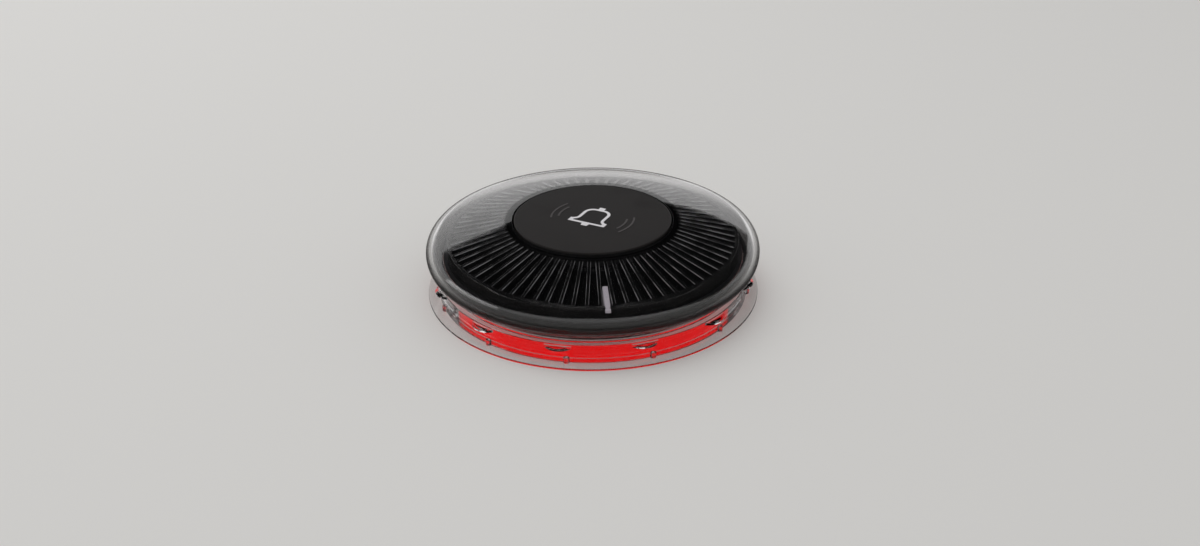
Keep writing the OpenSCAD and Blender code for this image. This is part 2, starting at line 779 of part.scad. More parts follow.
// Fins, the sloped floor between them, and the wall round their outer ends
module fin_ring() {
  floor_drop = fin_h + fin_floor_t;
  fin_inner_top = fin_top0 - fin_inner_drop;
  color([0.05, 0.05, 0.05])
    difference() {
      union() {
        rotate_extrude()
          polygon([
            [fin_bore_r, fin_top0 - floor_drop],
            [fin_inner_r, fin_top(fin_inner_r) - floor_drop],
            [fin_r1, fin_top1 - floor_drop], [fin_r1, chassis_top + face_gap],
            [fin_wall_r, chassis_top + face_gap], [fin_wall_r, fin_top1],
            [fin_r1, fin_top1], [fin_r1, fin_top1 - fin_h],
            [fin_inner_r, fin_top(fin_inner_r) - fin_h],
            [fin_inner_r, fin_inner_top], [fin_bore_r, fin_inner_top]
          ]);
        around(fin_n)
          fin();
      }
      bar_slot_cut();
    }
}

// One fin, from the inner wall to the outer wall
module fin() {
  foot = fin_floor_t / 2 + fin_h;
  translate([0, fin_t / 2, 0])
    rotate([90, 0, 0])
      linear_extrude(fin_t)
        polygon([
          [fin_r0, fin_top0 - foot], [fin_r0, fin_top0],
          [fin_r1 + fin_floor_t / 2, fin_top(fin_r1 + fin_floor_t / 2)],
          [fin_r1 + fin_floor_t / 2, fin_top1 - foot]
        ]);
}

// Way down through the fin ring for the indicator bar
module bar_slot_cut() {
  rotate([0, 0, bar_a])
    translate([bar_foot_r - fit_gap, -bar_w / 2 - face_gap, chassis_top - cut])
      cube([bar_r1 - bar_foot_r + cut, bar_w + 2 * face_gap, fin_top0]);
}

// Light pipe: a bar between two fins, with a lower part that leads to its light on the board
module indicator_bar() {
  low = fin_top1 - fin_h + fit_gap;
  step_z = fin_top(bar_r0) - fin_h;
  color([0.7, 0.68, 0.72])
    rotate([0, 0, bar_a])
      translate([0, bar_w / 2, 0])
        rotate([90, 0, 0])
          linear_extrude(bar_w)
            polygon([
              [bar_foot_r, bar_foot_z], [bar_foot_r + bar_foot_l, bar_foot_z],
              [bar_foot_r + bar_foot_l, low], [bar_r1, low],
              [bar_r1, fin_top(bar_r1) + bar_proud], [bar_r0, fin_top(bar_r0) + bar_proud],
              [bar_r0, step_z], [bar_foot_r, step_z]
            ]);
}

// The crown and rim are one wall, which rests on the guide's edge and on the sealing ring
module dome_cover() {
  color([0.3, 0.3, 0.32, 0.45])
    rotate_extrude()
      difference() {
        union() {
          arc_band(crown_c, crown_r, dome_t, join_a, crown_a);
          arc_band(rim_c, rim_r, dome_t, lip_end, join_a);
        }
        square([dome_bore_r, 2 * cap_top]);
      }
}

module dome_seal() {
  color([0.15, 0.15, 0.15])
    rotate_extrude()
      translate([seal_c_r, seal_c_z]) circle(r = dome_seal_r, $fn = 32);
}

// Cap: face plate, guiding skirt, stem over the switch, and three hooked legs
module button_cap() {
  half_leg = leg_span / 2;
  inner_leg_r = leg_r - leg_t;
  color([0.17, 0.16, 0.16])
    union() {
      rotate_extrude()
        polygon([
          [0, cap_under], [cap_r, cap_under], [cap_r, cap_top - edge_bevel],
          [cap_r - edge_bevel, cap_top], [0, cap_top]
        ]);
      tube(skirt_r, skirt_r - skirt_t, skirt_z, cap_under + cap_t / 2);
      tube(stem_d / 2, 0, plunger_top + face_gap, cap_under + cap_t / 2);
      around(3, leg_start) {
        ring_part(leg_r, inner_leg_r, hook_top - hook_t, cap_under + cap_t / 2, -half_leg, half_leg);
        ring_part(hook_r, inner_leg_r, hook_top - hook_t, hook_top, -half_leg, half_leg);
      }
    }
}

// Lines of a bell: its outline, a knob above and a clapper below
module bell_symbol() {
  top_y = bell_h - bell_drop;
  color([0.78, 0.77, 0.78])
    translate([0, 0, cap_top])
      linear_extrude(print_t)
        union() {
          difference() {
            bell_outline(0);
            bell_outline(stroke_w);
          }
          translate([-knob_w / 2, top_y - stroke_w / 2])
            square([knob_w, knob_h + stroke_w / 2]);
          polygon([
            [-clapper_w / 2, stroke_w / 2 - bell_drop], [-clapper_w * 0.36, -bell_drop - knob_h],
            [clapper_w * 0.36, -bell_drop - knob_h], [clapper_w / 2, stroke_w / 2 - bell_drop]
          ]);
        }
}

// The bell's filled outline, drawn in by a margin on every side
module bell_outline(margin) {
  half = bell_body_w / 2;
  flare = bell_w / 2 - half;
  top_y = bell_h - bell_drop;
  shoulder_y = top_y - bell_shoulder_r;
  union() {
    for (side = [-1, 1])
      translate([side * (half - bell_shoulder_r), shoulder_y])
        circle(r = bell_shoulder_r - margin, $fn = 64);
    translate([bell_shoulder_r - half, shoulder_y - cut])
      square([bell_body_w - 2 * bell_shoulder_r, bell_shoulder_r - margin + cut]);
    translate([margin - half, margin - bell_drop])
      square([bell_body_w - 2 * margin, shoulder_y + bell_drop - margin]);
    difference() {
      translate([margin * 1.4 - bell_w / 2, margin - bell_drop])
        square([bell_w - 2.8 * margin, bell_lip_h + flare - margin]);
      for (side = [-1, 1])
        translate([side * bell_w / 2, bell_lip_h + flare - bell_drop])
          circle(r = flare + margin, $fn = 48);
    }
  }
}

// Sound arcs on both sides of the bell
module wave_marks() {
  color([0.35, 0.34, 0.35])
    for (pair = [0, 1], side = [0, 180])
      rotate([0, 0, side])
        wave_mark(wave_r + pair * wave_step, wave_a * (1 + pair * 0.3));
}

// One sound arc of mean radius r, from -a to a degrees
module wave_mark(r, a) {
  ring_part(r + wave_w / 2, r - wave_w / 2, cap_top, cap_top + print_t, -a, a);
}

module battery_door() {
  groove_z = plate_z + door_seal_up;
  color([0.09, 0.09, 0.1])
    difference() {
      union() {
        tube(door_r, 0, plate_z, door_floor_top);
        tube(door_r, skirt_bore_r, plate_z, door_top);
        around(3)
          ring_part(lug_r, skirt_bore_r, lug_z, door_top, -lug_span / 2, lug_span / 2);
      }
      translate([-coin_slot_l / 2, -coin_slot_w / 2, plate_z - cut])
        cube([coin_slot_l, coin_slot_w, cut + coin_slot_depth]);
      tube(door_r + cut, door_r - door_seal_d - face_gap, groove_z, groove_z + door_seal_d + 2 * face_gap);
    }
}

// Sealing ring in the groove round the door's edge
module door_seal() {
  r = door_seal_d / 2;
  color([0.3, 0.08, 0.06])
    rotate_extrude()
      translate([door_r - r, plate_z + door_seal_up + r + face_gap])
        circle(r = r, $fn = 32);
}

clear_base();
light_ring();
bottom_plate();
foot_pad();
base_screws();
chassis();
circuit_board();
ring_leds();
status_led();
radio_chip();
crystal();
board_parts();
antenna();
cell_holder();
coin_cell();
positive_terminal();
negative_terminal();
switch_base();
switch_pins();
snap_disc();
switch_cover();
button_guide();
button_seal();
fin_ring();
indicator_bar();
dome_cover();
dome_seal();
button_cap();
bell_symbol();
wave_marks();
switch_plunger();
battery_door();
door_seal();
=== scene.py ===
"""Looks of a round wireless table call button, dressed round its fixed construction frame.

Where nothing else is said, lengths are in millimetres and angles in degrees. Meshes are in metres. The
frame's origin is the centre of the underside, +Z is up, and +Y points to the top of the bell on the cap.
"""
from __future__ import annotations

import logging
import math
from dataclasses import dataclass
from enum import Enum

import bmesh
import bpy
import numpy as np
from mathutils import Matrix, Vector


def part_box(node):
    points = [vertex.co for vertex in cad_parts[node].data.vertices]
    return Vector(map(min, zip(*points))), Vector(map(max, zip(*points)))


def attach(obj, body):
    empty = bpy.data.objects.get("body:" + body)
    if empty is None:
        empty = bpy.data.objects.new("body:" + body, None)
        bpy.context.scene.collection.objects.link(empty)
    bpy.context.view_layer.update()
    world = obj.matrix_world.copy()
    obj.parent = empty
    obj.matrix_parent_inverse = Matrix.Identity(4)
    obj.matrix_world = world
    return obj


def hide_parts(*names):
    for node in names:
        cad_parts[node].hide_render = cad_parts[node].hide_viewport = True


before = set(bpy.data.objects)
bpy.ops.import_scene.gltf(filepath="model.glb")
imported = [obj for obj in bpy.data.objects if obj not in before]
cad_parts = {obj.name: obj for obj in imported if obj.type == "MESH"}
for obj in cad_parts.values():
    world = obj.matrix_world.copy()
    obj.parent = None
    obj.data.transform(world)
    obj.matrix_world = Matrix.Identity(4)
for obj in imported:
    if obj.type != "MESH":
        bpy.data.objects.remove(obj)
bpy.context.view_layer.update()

MM = 0.001
MERGE_DISTANCE = 1e-8
SLIVER_LENGTH = 1e-9
CREASE_DEGREES = 50
LOG = logging.getLogger("call_button")


class Body(Enum):
    """Rigid bodies of the frame that the pieces made here ride on."""

    HOUSING = "housing"
    BUTTON = "button"


# ---------------------------------------------------------------- surfaces


@dataclass
class Surface:
    """A mesh as arrays: corner points in millimetres and four-sided faces.

    Attributes:
        points: Array of shape (n, 3).
        quads: Array of shape (k, 4) with indices into points.
    """

    points: np.ndarray
    quads: np.ndarray

    def joined(self, other: Surface) -> Surface:
        """Returns one surface that holds this one and another.

        Args:
            other: The surface to add.

        Returns:
            Both surfaces' points and faces, with the other's indices moved up.
        """
        points = np.vstack([self.points, other.points])
        quads = np.vstack([self.quads, other.quads + len(self.points)])
        return Surface(points, quads)


def direction(degrees: float) -> np.ndarray:
    """Returns the plane unit vector (cos a, sin a)."""
    return np.array([math.cos(math.radians(degrees)), math.sin(math.radians(degrees))])


def arc(centre: np.ndarray, radius: float, start: float, stop: float, steps: int = 24) -> np.ndarray:
    """Points on a circle's arc: centre + radius * (cos a, sin a), a in equal steps.

    Args:
        centre: The circle's centre.
        radius: The circle's radius.
        start: First direction in degrees.
        stop: Last direction in degrees.
        steps: Number of points.

    Returns:
        Array of shape (steps, 2).
    """
    a = np.radians(np.linspace(start, stop, steps))
    return np.asarray(centre) + radius * np.column_stack([np.cos(a), np.sin(a)])


def corner_arc(
        before: np.ndarray, corner: np.ndarray, after: np.ndarray, radius: float, steps: int) -> np.ndarray:
    """A corner rounded by an arc that touches both of its edges.

    With unit vectors u and v along the edges and half the angle h between them, the arc leaves each edge at
    radius / tan h from the corner. Where there is room, a point on each edge just past the arc keeps the flat
    beside it flat.

    Args:
        before: The point before the corner.
        corner: The corner.
        after: The point after the corner.
        radius: Radius of the arc, or 0 for a sharp corner.
        steps: Number of points on the arc.

    Returns:
        Array of shape (m, 2).
    """
    u, v = before - corner, after - corner
    room = min(np.linalg.norm(u), np.linalg.norm(v))
    u, v = u / np.linalg.norm(u), v / np.linalg.norm(v)
    half = math.acos(float(np.clip(u @ v, -1, 1))) / 2
    nearly_straight = math.radians(88)
    if radius <= 0 or half > nearly_straight:
        return corner[None, :]
    reach = radius / math.tan(half)
    centre = corner + (u + v) / np.linalg.norm(u + v) * radius / math.sin(half)
    first, last = corner + u * reach - centre, corner + v * reach - centre
    a0, a1 = math.atan2(first[1], first[0]), math.atan2(last[1], last[0])
    turn = (a1 - a0 + math.pi) % (2 * math.pi) - math.pi
    a = a0 + turn * np.linspace(0, 1, steps)
    bend = centre + radius * np.column_stack([np.cos(a), np.sin(a)])
    past, share, least = 0.35, 0.5, 1.02
    hold = min(reach + radius * past, room * share)
    if hold <= reach * least:
        return bend
    return np.vstack([corner + u * hold, bend, corner + v * hold])


def rounded(corners: list[tuple[float, float, float]], steps: int = 7) -> np.ndarray:
    """A closed outline whose corners are rounded.

    Args:
        corners: (radius from the axis, height, corner radius), counter-clockwise.
        steps: Number of points on each rounded corner.

    Returns:
        Array of shape (n, 2).
    """
    table = np.array(corners, float)
    places = table[:, :2]
    return np.vstack([
        corner_arc(a, b, c, r, steps)
        for a, b, c, r in zip(np.roll(places, 1, 0), places, np.roll(places, -1, 0), table[:, 2])
    ])


def polar(r: np.ndarray, a: np.ndarray, z: np.ndarray) -> np.ndarray:
    """Returns points (r cos a, r sin a, z) on the arrays' common grid, shape (..., 3)."""
    return np.stack(np.broadcast_arrays(r * np.cos(a), r * np.sin(a), z), axis=-1)


def grid_quads(rows: int, cols: int, wrap: bool = False) -> np.ndarray:
    """Faces of a grid of points in which every row closes on itself.

    Args:
        rows: Number of rows.
        cols: Number of points in a row.
        wrap: Whether the last row joins the first one too.

    Returns:
        Array of shape (k, 4) with indices into the points.
    """
    i, j = np.meshgrid(np.arange(rows if wrap else rows - 1), np.arange(cols), indexing="ij")
    i2, j2 = (i + 1) % rows, (j + 1) % cols
    return np.stack([i * cols + j, i * cols + j2, i2 * cols + j2, i2 * cols + j], axis=-1).reshape(-1, 4)


def lathe(outline: np.ndarray, steps: int = 360, swell: np.ndarray | None = None) -> Surface:
    """Turns a closed outline about Z: point = ((r + swell) cos a, (r + swell) sin a, z).

    Args:
        outline: (radius, height) points, counter-clockwise, shape (n, 2).
        steps: Number of directions in a full turn.
        swell: Extra radius for each outline point and direction, shape (n, steps).

    Returns:
        The closed surface.
    """
    a = np.linspace(0, 2 * np.pi, steps, endpoint=False)
    r = outline[:, :1] + (0 if swell is None else swell)
    points = polar(r, a, outline[:, 1:])
    return Surface(points.reshape(-1, 3), grid_quads(len(outline), steps, wrap=True))


def tube_of(sections: np.ndarray) -> Surface:
    """Joins copies of one closed section into a tube and closes both ends.

    An end is closed by strips between point i and its mirror point n - 1 - i.

    Args:
        sections: Section points in order along the tube, shape (s, n, 3), n even.

    Returns:
        The closed surface.
    """
    s, n, _ = sections.shape
    k = np.arange(n // 2 - 1)
    strip = np.stack([k, n - 1 - k, n - 2 - k, k + 1], axis=-1)
    far = strip[:, ::-1] + (s - 1) * n
    return Surface(sections.reshape(-1, 3), np.vstack([grid_quads(s, n), strip, far]))


def beam(r: np.ndarray, low: np.ndarray, high: np.ndarray, width: float, ease: float) -> Surface:
    """A bar along the X axis with a straight underside, a straight top and rounded top edges.

    Args:
        r: Distances of its two ends from the axis.
        low: Heights of its underside at both ends.
        high: Heights of its top at both ends.
        width: Width of the bar.
        ease: Rounding of its top edges.

    Returns:
        The closed surface.
    """
    half = width / 2
    rows = []
    for radius, z0, z in zip(r, low, high):
        section = rounded([(-half, z0, 0), (half, z0, 0), (half, z, ease), (-half, z, ease)], 4)
        rows.append(np.column_stack([np.full(len(section), radius), section]))
    return tube_of(np.stack(rows))


def turned(surface: Surface, angles: np.ndarray) -> Surface:
    """Copies a surface to each of several directions about Z.

    Args:
        surface: The surface at direction 0.
        angles: Directions in degrees.

    Returns:
        All copies as one surface.
    """
    a = np.radians(angles)[:, None]
    x, y, z = surface.points.T
    spun_x, spun_y = x * np.cos(a) - y * np.sin(a), x * np.sin(a) + y * np.cos(a)
    points = np.stack(np.broadcast_arrays(spun_x, spun_y, z), axis=-1)
    offsets = np.arange(len(a))[:, None, None] * len(surface.points)
    return Surface(points.reshape(-1, 3), (surface.quads[None] + offsets).reshape(-1, 4))


def ring_block(outline: np.ndarray, start: float, stop: float, steps: int = 8) -> Surface:
    """Part of a turned ring: an outline of (radius, height) carried from one direction to another.

    Args:
        outline: Closed outline with an even number of points, shape (n, 2).
        start: First direction in degrees.
        stop: Last direction in degrees.
        steps: Number of sections.

    Returns:
        The closed surface.
    """
    a = np.radians(np.linspace(start, stop, steps))[:, None]
    return tube_of(polar(outline[:, 0], a, outline[:, 1]))


# ---------------------------------------------------------------- shader groups


class Nodes:
    """Adds shader nodes to a tree and feeds their inputs.

    Attributes:
        tree: The node tree that is built.
    """

    def __init__(self, tree: bpy.types.NodeTree) -> None:
        """Starts from an empty tree."""
        self.tree = tree
        tree.nodes.clear()

    def feed(self, slot: bpy.types.NodeSocket, source: object) -> None:
        """Links a socket to an input, or sets the input's value.

        Args:
            slot: The input.
            source: The socket or value for it.
        """
        if isinstance(source, bpy.types.NodeSocket):
            self.tree.links.new(source, slot)
        else:
            slot.default_value = source

    def add(self, kind: str, **values: object) -> bpy.types.Node:
        """Adds a node.

        Args:
            kind: The node's Blender type.
            **values: Node properties, or sockets and values for its inputs by name with _ for a space.

        Returns:
            The new node.
        """
        node = self.tree.nodes.new(kind)
        for name, value in values.items():
            if hasattr(node, name):
                setattr(node, name, value)
            else:
                self.feed(node.inputs[name.replace("_", " ")], value)
        return node

    def math(self, operation: str, a: object, b: object = 0.0) -> bpy.types.NodeSocket:
        """Adds a Math node.

        Args:
            operation: The node's operation, such as MULTIPLY.
            a: First socket or number.
            b: Second socket or number.

        Returns:
            The node's output.
        """
        node = self.add("ShaderNodeMath", operation=operation)
        for slot, source in zip(node.inputs, (a, b)):
            self.feed(slot, source)
        return node.outputs[0]

    def remap(
            self, value: bpy.types.NodeSocket, low: float, high: float, to_low: float = 0.0,
            to_high: float = 1.0) -> bpy.types.NodeSocket:
        """Adds a smooth Map Range node.

        Args:
            value: The socket to map.
            low: Value that becomes to_low.
            high: Value that becomes to_high.
            to_low: Result at the low end.
            to_high: Result at the high end.

        Returns:
            The mapped value.
        """
        node = self.add(
            "ShaderNodeMapRange", interpolation_type="SMOOTHSTEP", Value=value, From_Min=low, From_Max=high,
            To_Min=to_low, To_Max=to_high)
        return node.outputs["Result"]

    def mix(self, a: object, b: object, share: object, blend: str = "MIX") -> bpy.types.NodeSocket:
        """Mixes two colours.

        Args:
            a: First colour, as a socket or a value.
            b: Second colour.
            share: Share of the second colour.
            blend: The node's blending mode.

        Returns:
            The mixed colour.
        """
        node = self.add("ShaderNodeMix", data_type="RGBA", blend_type=blend, A=a, B=b, Factor=share)
        return node.outputs["Result"]


FLOAT, COLOUR, VECTOR = "NodeSocketFloat", "NodeSocketColor", "NodeSocketVector"


def new_group(
        name: str, inputs: dict[str, tuple[str, object]], outputs: dict[str, str],
) -> tuple[bpy.types.NodeTree, Nodes, dict[str, bpy.types.NodeSocket], bpy.types.Node]:
    """Starts a shader node group with named sockets.

    Args:
        name: The group's name.
        inputs: Socket name to (socket type, default).
        outputs: Socket name to socket type.

    Returns:
        The tree, its node helper, the sockets with its inputs by name, and its output node.
    """
    tree = bpy.data.node_groups.new(name, "ShaderNodeTree")
    for label, (kind, default) in inputs.items():
        tree.interface.new_socket(label, in_out="INPUT", socket_type=kind).default_value = default
    for label, kind in outputs.items():
        tree.interface.new_socket(label, in_out="OUTPUT", socket_type=kind)
    n = Nodes(tree)
    given = n.add("NodeGroupInput").outputs
    return tree, n, {label: given[label] for label in inputs}, n.add("NodeGroupOutput")


class ShaderKit:
    """The shared effects, each built once as a node group.

    Attributes:
        mottle: Slow change of tone over a moulding.
        grain: Fine moulded texture as a height.
        handling: Mask of fine scratches and finger marks.
    """

    TONE_RANGE = (0.3, 0.7)
    SCRATCH_STRETCH = (1.0, 14.0, 1.0)
    SCRATCH_TURN = (0.3, 0.2, 0.6)
    SCRATCH_RANGE = (0.66, 0.72)
    SMEAR_RANGE = (0.5, 0.75)

    def __init__(self) -> None:
        """Builds the groups."""
        self.mottle = self._mottle()
        self.grain = self._grain()
        self.handling = self._handling()

    def _mottle(self) -> bpy.types.NodeTree:
        """Tone group: mixes the colour with the second one by a mask of slow noise, and puts out the mask."""
        tree, n, given, out = new_group(
            "slow_tone",
            {"Colour": (COLOUR, (0.5, 0.5, 0.5, 1)), "Second": (COLOUR, (0.5, 0.5, 0.5, 1)),
             "Scale": (FLOAT, 60.0), "Vector": (VECTOR, (0, 0, 0))},
            {"Colour": COLOUR, "Mask": FLOAT},
        )
        noise = n.add(
            "ShaderNodeTexNoise", Detail=4.0, Roughness=0.55, Vector=given["Vector"], Scale=given["Scale"])
        mask = n.remap(noise.outputs["Fac"], *self.TONE_RANGE)
        n.feed(out.inputs["Colour"], n.mix(given["Colour"], given["Second"], mask))
        n.feed(out.inputs["Mask"], mask)
        return tree

    def _grain(self) -> bpy.types.NodeTree:
        """Texture group: cell noise for spark-eroded pits plus fine noise, as one height."""
        tree, n, given, out = new_group(
            "moulded_grain", {"Scale": (FLOAT, 4000.0), "Vector": (VECTOR, (0, 0, 0))}, {"Height": FLOAT})
        pits = n.add("ShaderNodeTexVoronoi", feature="SMOOTH_F1", Smoothness=0.6, **given)
        fine = n.add("ShaderNodeTexNoise", Detail=2.0, **given)
        n.feed(out.inputs["Height"], n.math("ADD", pits.outputs["Distance"], fine.outputs["Fac"]))
        return tree

    def _handling(self) -> bpy.types.NodeTree:
        """Mark group: thin scratches from stretched noise, and soft finger marks from slow noise."""
        tree, n, given, out = new_group(
            "handling_marks", {"Scale": (FLOAT, 90.0), "Vector": (VECTOR, (0, 0, 0))},
            {"Scratches": FLOAT, "Smears": FLOAT})
        stretch = n.add(
            "ShaderNodeMapping", Vector=given["Vector"], Scale=self.SCRATCH_STRETCH,
            Rotation=self.SCRATCH_TURN)
        lines = n.add(
            "ShaderNodeTexNoise", Detail=3.0, Vector=stretch.outputs["Vector"], Scale=given["Scale"])
        smears = n.add("ShaderNodeTexNoise", Detail=2.0, Distortion=0.6, **given)
        n.feed(out.inputs["Scratches"], n.remap(lines.outputs["Fac"], *self.SCRATCH_RANGE))
        n.feed(out.inputs["Smears"], n.remap(smears.outputs["Fac"], *self.SMEAR_RANGE))
        return tree


# ---------------------------------------------------------------- finishes


Colour = tuple[float, float, float]


def radius_and_height(
        n: Nodes, place: bpy.types.NodeSocket,
) -> tuple[bpy.types.NodeSocket, bpy.types.NodeSocket, bpy.types.NodeSocket]:
    """Works out the radius from the axis, the height and the direction round the axis of a shaded point.

    Args:
        n: The material's node helper.
        place: Object coordinates.

    Returns:
        Radius and height in millimetres, and direction in radians.
    """
    scaled = n.add("ShaderNodeVectorMath", operation="SCALE", Scale=1 / MM, Vector=place)
    x, y, z = n.add("ShaderNodeSeparateXYZ", Vector=scaled.outputs["Vector"]).outputs
    radius = n.math("SQRT", n.math("ADD", n.math("MULTIPLY", x, x), n.math("MULTIPLY", y, y)))
    return radius, z, n.math("ARCTAN2", y, x)


@dataclass(frozen=True)
class PaintedDomeShade:
    """Painted shade near the bore and low on the rim of a turned piece: a darker colour that dims the light
    seen through the glass there.

    Attributes:
        colour: Colour of the painted shade, linear.
        inner: Radii between which the painted shade fades out from the bore.
        below: Heights between which the painted shade of the rim's lower half fades out upwards.
    """

    colour: Colour
    inner: tuple[float, float]
    below: tuple[float, float]

    def over(self, n: Nodes, base: bpy.types.NodeSocket, place: bpy.types.NodeSocket) -> bpy.types.NodeSocket:
        """Lays the painted shade over a colour.

        Args:
            n: The material's node helper.
            base: The colour to shade.
            place: Object coordinates.

        Returns:
            The shaded colour.
        """
        radius, height = radius_and_height(n, place)[:2]
        near = n.remap(radius, *self.inner, 1.0, 0.0)
        far = n.remap(height, *self.below, 1.0, 0.0)
        return n.mix(base, (*self.colour, 1), n.math("MAXIMUM", near, far))


@dataclass(frozen=True)
class PaintedFinHighlights:
    """Painted highlights: a lighter colour along both top edges of every radial fin, where light glints off
    them.

    Attributes:
        colour: Colour of the painted highlight, linear.
        count: Number of fins.
        half: Half a fin's thickness.
        width: Width of the painted highlight line.
        start: Radius of the fins' inner ends.
        end: Radius of their outer ends.
        top: Height of the fins' inner ends.
        slope: Fall of the fins' tops for each millimetre of radius.
        side_fade: Distances past a fin's face between which the line fades out.
        end_fade: Length over which the lines fade out at the fins' outer ends.
        glint_scale: Fineness of the line's unevenness, in cells per metre.
        glint_range: Noise values between which the line goes from weakest to full.
        dimmest: Share of the tone where the line is weakest.
    """

    colour: Colour
    count: int = 72
    half: float = 0.325
    width: float = 0.12
    start: float = 15.8
    end: float = 26.3
    top: float = 12.55
    slope: float = 0.2476
    side_fade: tuple[float, float] = (0.01, 0.05)
    end_fade: float = 0.3
    glint_scale: float = 260.0
    glint_range: tuple[float, float] = (0.38, 0.6)
    dimmest: float = 0.2

    def over(self, n: Nodes, base: bpy.types.NodeSocket, place: bpy.types.NodeSocket) -> bpy.types.NodeSocket:
        """Lays the painted highlight lines over a colour.

        The distance from a fin's middle is r times the angle to the nearest fin, and the depth below its top
        edge is top - slope * (r - start) - z.

        Args:
            n: The material's node helper.
            base: The colour under the lines.
            place: Object coordinates.

        Returns:
            The colour with the lines.
        """
        radius, z, angle = radius_and_height(n, place)
        turn = n.math("PINGPONG", angle, math.pi / self.count)
        side = n.math("MULTIPLY", turn, radius)
        drop = n.math("MULTIPLY", n.math("SUBTRACT", radius, self.start), self.slope)
        depth = n.math("SUBTRACT", n.math("SUBTRACT", self.top, drop), z)
        edge = n.math(
            "MULTIPLY", n.remap(side, self.half - self.width, self.half - self.width / 2),
            n.remap(side, *(self.half + f for f in self.side_fade), 1.0, 0.0))
        near_top = n.math(
            "MULTIPLY", n.remap(depth, self.width, self.width * 2, 1.0, 0.0),
            n.remap(radius, self.end - self.end_fade, self.end, 1.0, 0.0))
        # Noise makes the painted highlight uneven, like broken glints.
        glints = n.add("ShaderNodeTexNoise", Scale=self.glint_scale, Detail=3.0, Vector=place)
        uneven = n.remap(glints.outputs["Fac"], *self.glint_range, self.dimmest, 1.0)
        share = n.math("MULTIPLY", uneven, n.math("MULTIPLY", edge, near_top))
        return n.mix(base, (*self.colour, 1), share)


@dataclass(frozen=True)
class Finish:
    """One material of the call button.

    Attributes:
        name: The material's name.
        slot: The record's material slot.
        colour: Main colour, linear.
        second: Colour that it drifts to, linear.
        roughness: Roughness of the clean surface.
        marked: Roughness where the surface is marked.
        metallic: Metal share.
        specular: Specular level.
        grain: Height of the moulded texture.
        grain_scale: Fineness of that texture, in cells per metre.
        tone_scale: Fineness of the tone's drift, in cells per metre.
        scratch_tint: How far scratches lighten the colour.
        transmission: Share of light that passes through.
        ior: Index of refraction.
        glow: Colour of its own light, linear.
        glow_strength: Strength of its own light.
        glow_dip: Share of that light where the tone is at its second colour.
        shade: Painted shade or painted highlights laid over the colour by place, if any.
    """

    name: str
    slot: str
    colour: Colour
    second: Colour
    roughness: float = 0.4
    marked: float = 0.5
    metallic: float = 0.0
    specular: float = 0.5
    grain: float = 0.004
    grain_scale: float = 5000.0
    tone_scale: float = 120.0
    scratch_tint: float = 0.02
    transmission: float = 0.0
    ior: float = 1.5
    glow: Colour = (0.0, 0.0, 0.0)
    glow_strength: float = 0.0
    glow_dip: float = 0.9
    shade: PaintedDomeShade | PaintedFinHighlights | None = None

    def build(self, kit: ShaderKit) -> bpy.types.Material:
        """Makes the material from the shared effects.

        Args:
            kit: The shared shader groups.

        Returns:
            The finished material.
        """
        material = bpy.data.materials.new(self.name)
        material.use_nodes = True
        n = Nodes(material.node_tree)
        place = n.add("ShaderNodeTexCoord").outputs["Object"]
        tone = n.add(
            "ShaderNodeGroup", node_tree=kit.mottle, Vector=place, Scale=self.tone_scale,
            Colour=(*self.colour, 1), Second=(*self.second, 1))
        marks = n.add("ShaderNodeGroup", node_tree=kit.handling, Vector=place).outputs
        tint = n.math("MULTIPLY", marks["Scratches"], self.scratch_tint)
        base = n.mix(tone.outputs["Colour"], (1, 1, 1, 1), tint, "ADD")
        # Painted shade or painted highlights go over the colour here.
        if self.shade:
            base = self.shade.over(n, base, place)
        wear = n.math("MAXIMUM", marks["Scratches"], marks["Smears"])
        shader = n.add(
            "ShaderNodeBsdfPrincipled", Base_Color=base, Metallic=self.metallic, IOR=self.ior,
            Roughness=n.remap(wear, 0.0, 1.0, self.roughness, self.marked),
            Specular_IOR_Level=self.specular, Transmission_Weight=self.transmission)
        if self.grain > 0:
            grain = n.add("ShaderNodeGroup", node_tree=kit.grain, Vector=place, Scale=self.grain_scale)
            bump = n.add(
                "ShaderNodeBump", Strength=1.0, Distance=self.grain * MM, Height=grain.outputs["Height"])
            n.feed(shader.inputs["Normal"], bump.outputs["Normal"])
        if self.glow_strength > 0:
            dim = (*(c * self.glow_dip for c in self.glow), 1)
            n.feed(shader.inputs["Emission Color"], n.mix((*self.glow, 1), dim, tone.outputs["Mask"]))
            n.feed(shader.inputs["Emission Strength"], self.glow_strength)
        n.add("ShaderNodeOutputMaterial", Surface=shader.outputs["BSDF"])
        return material


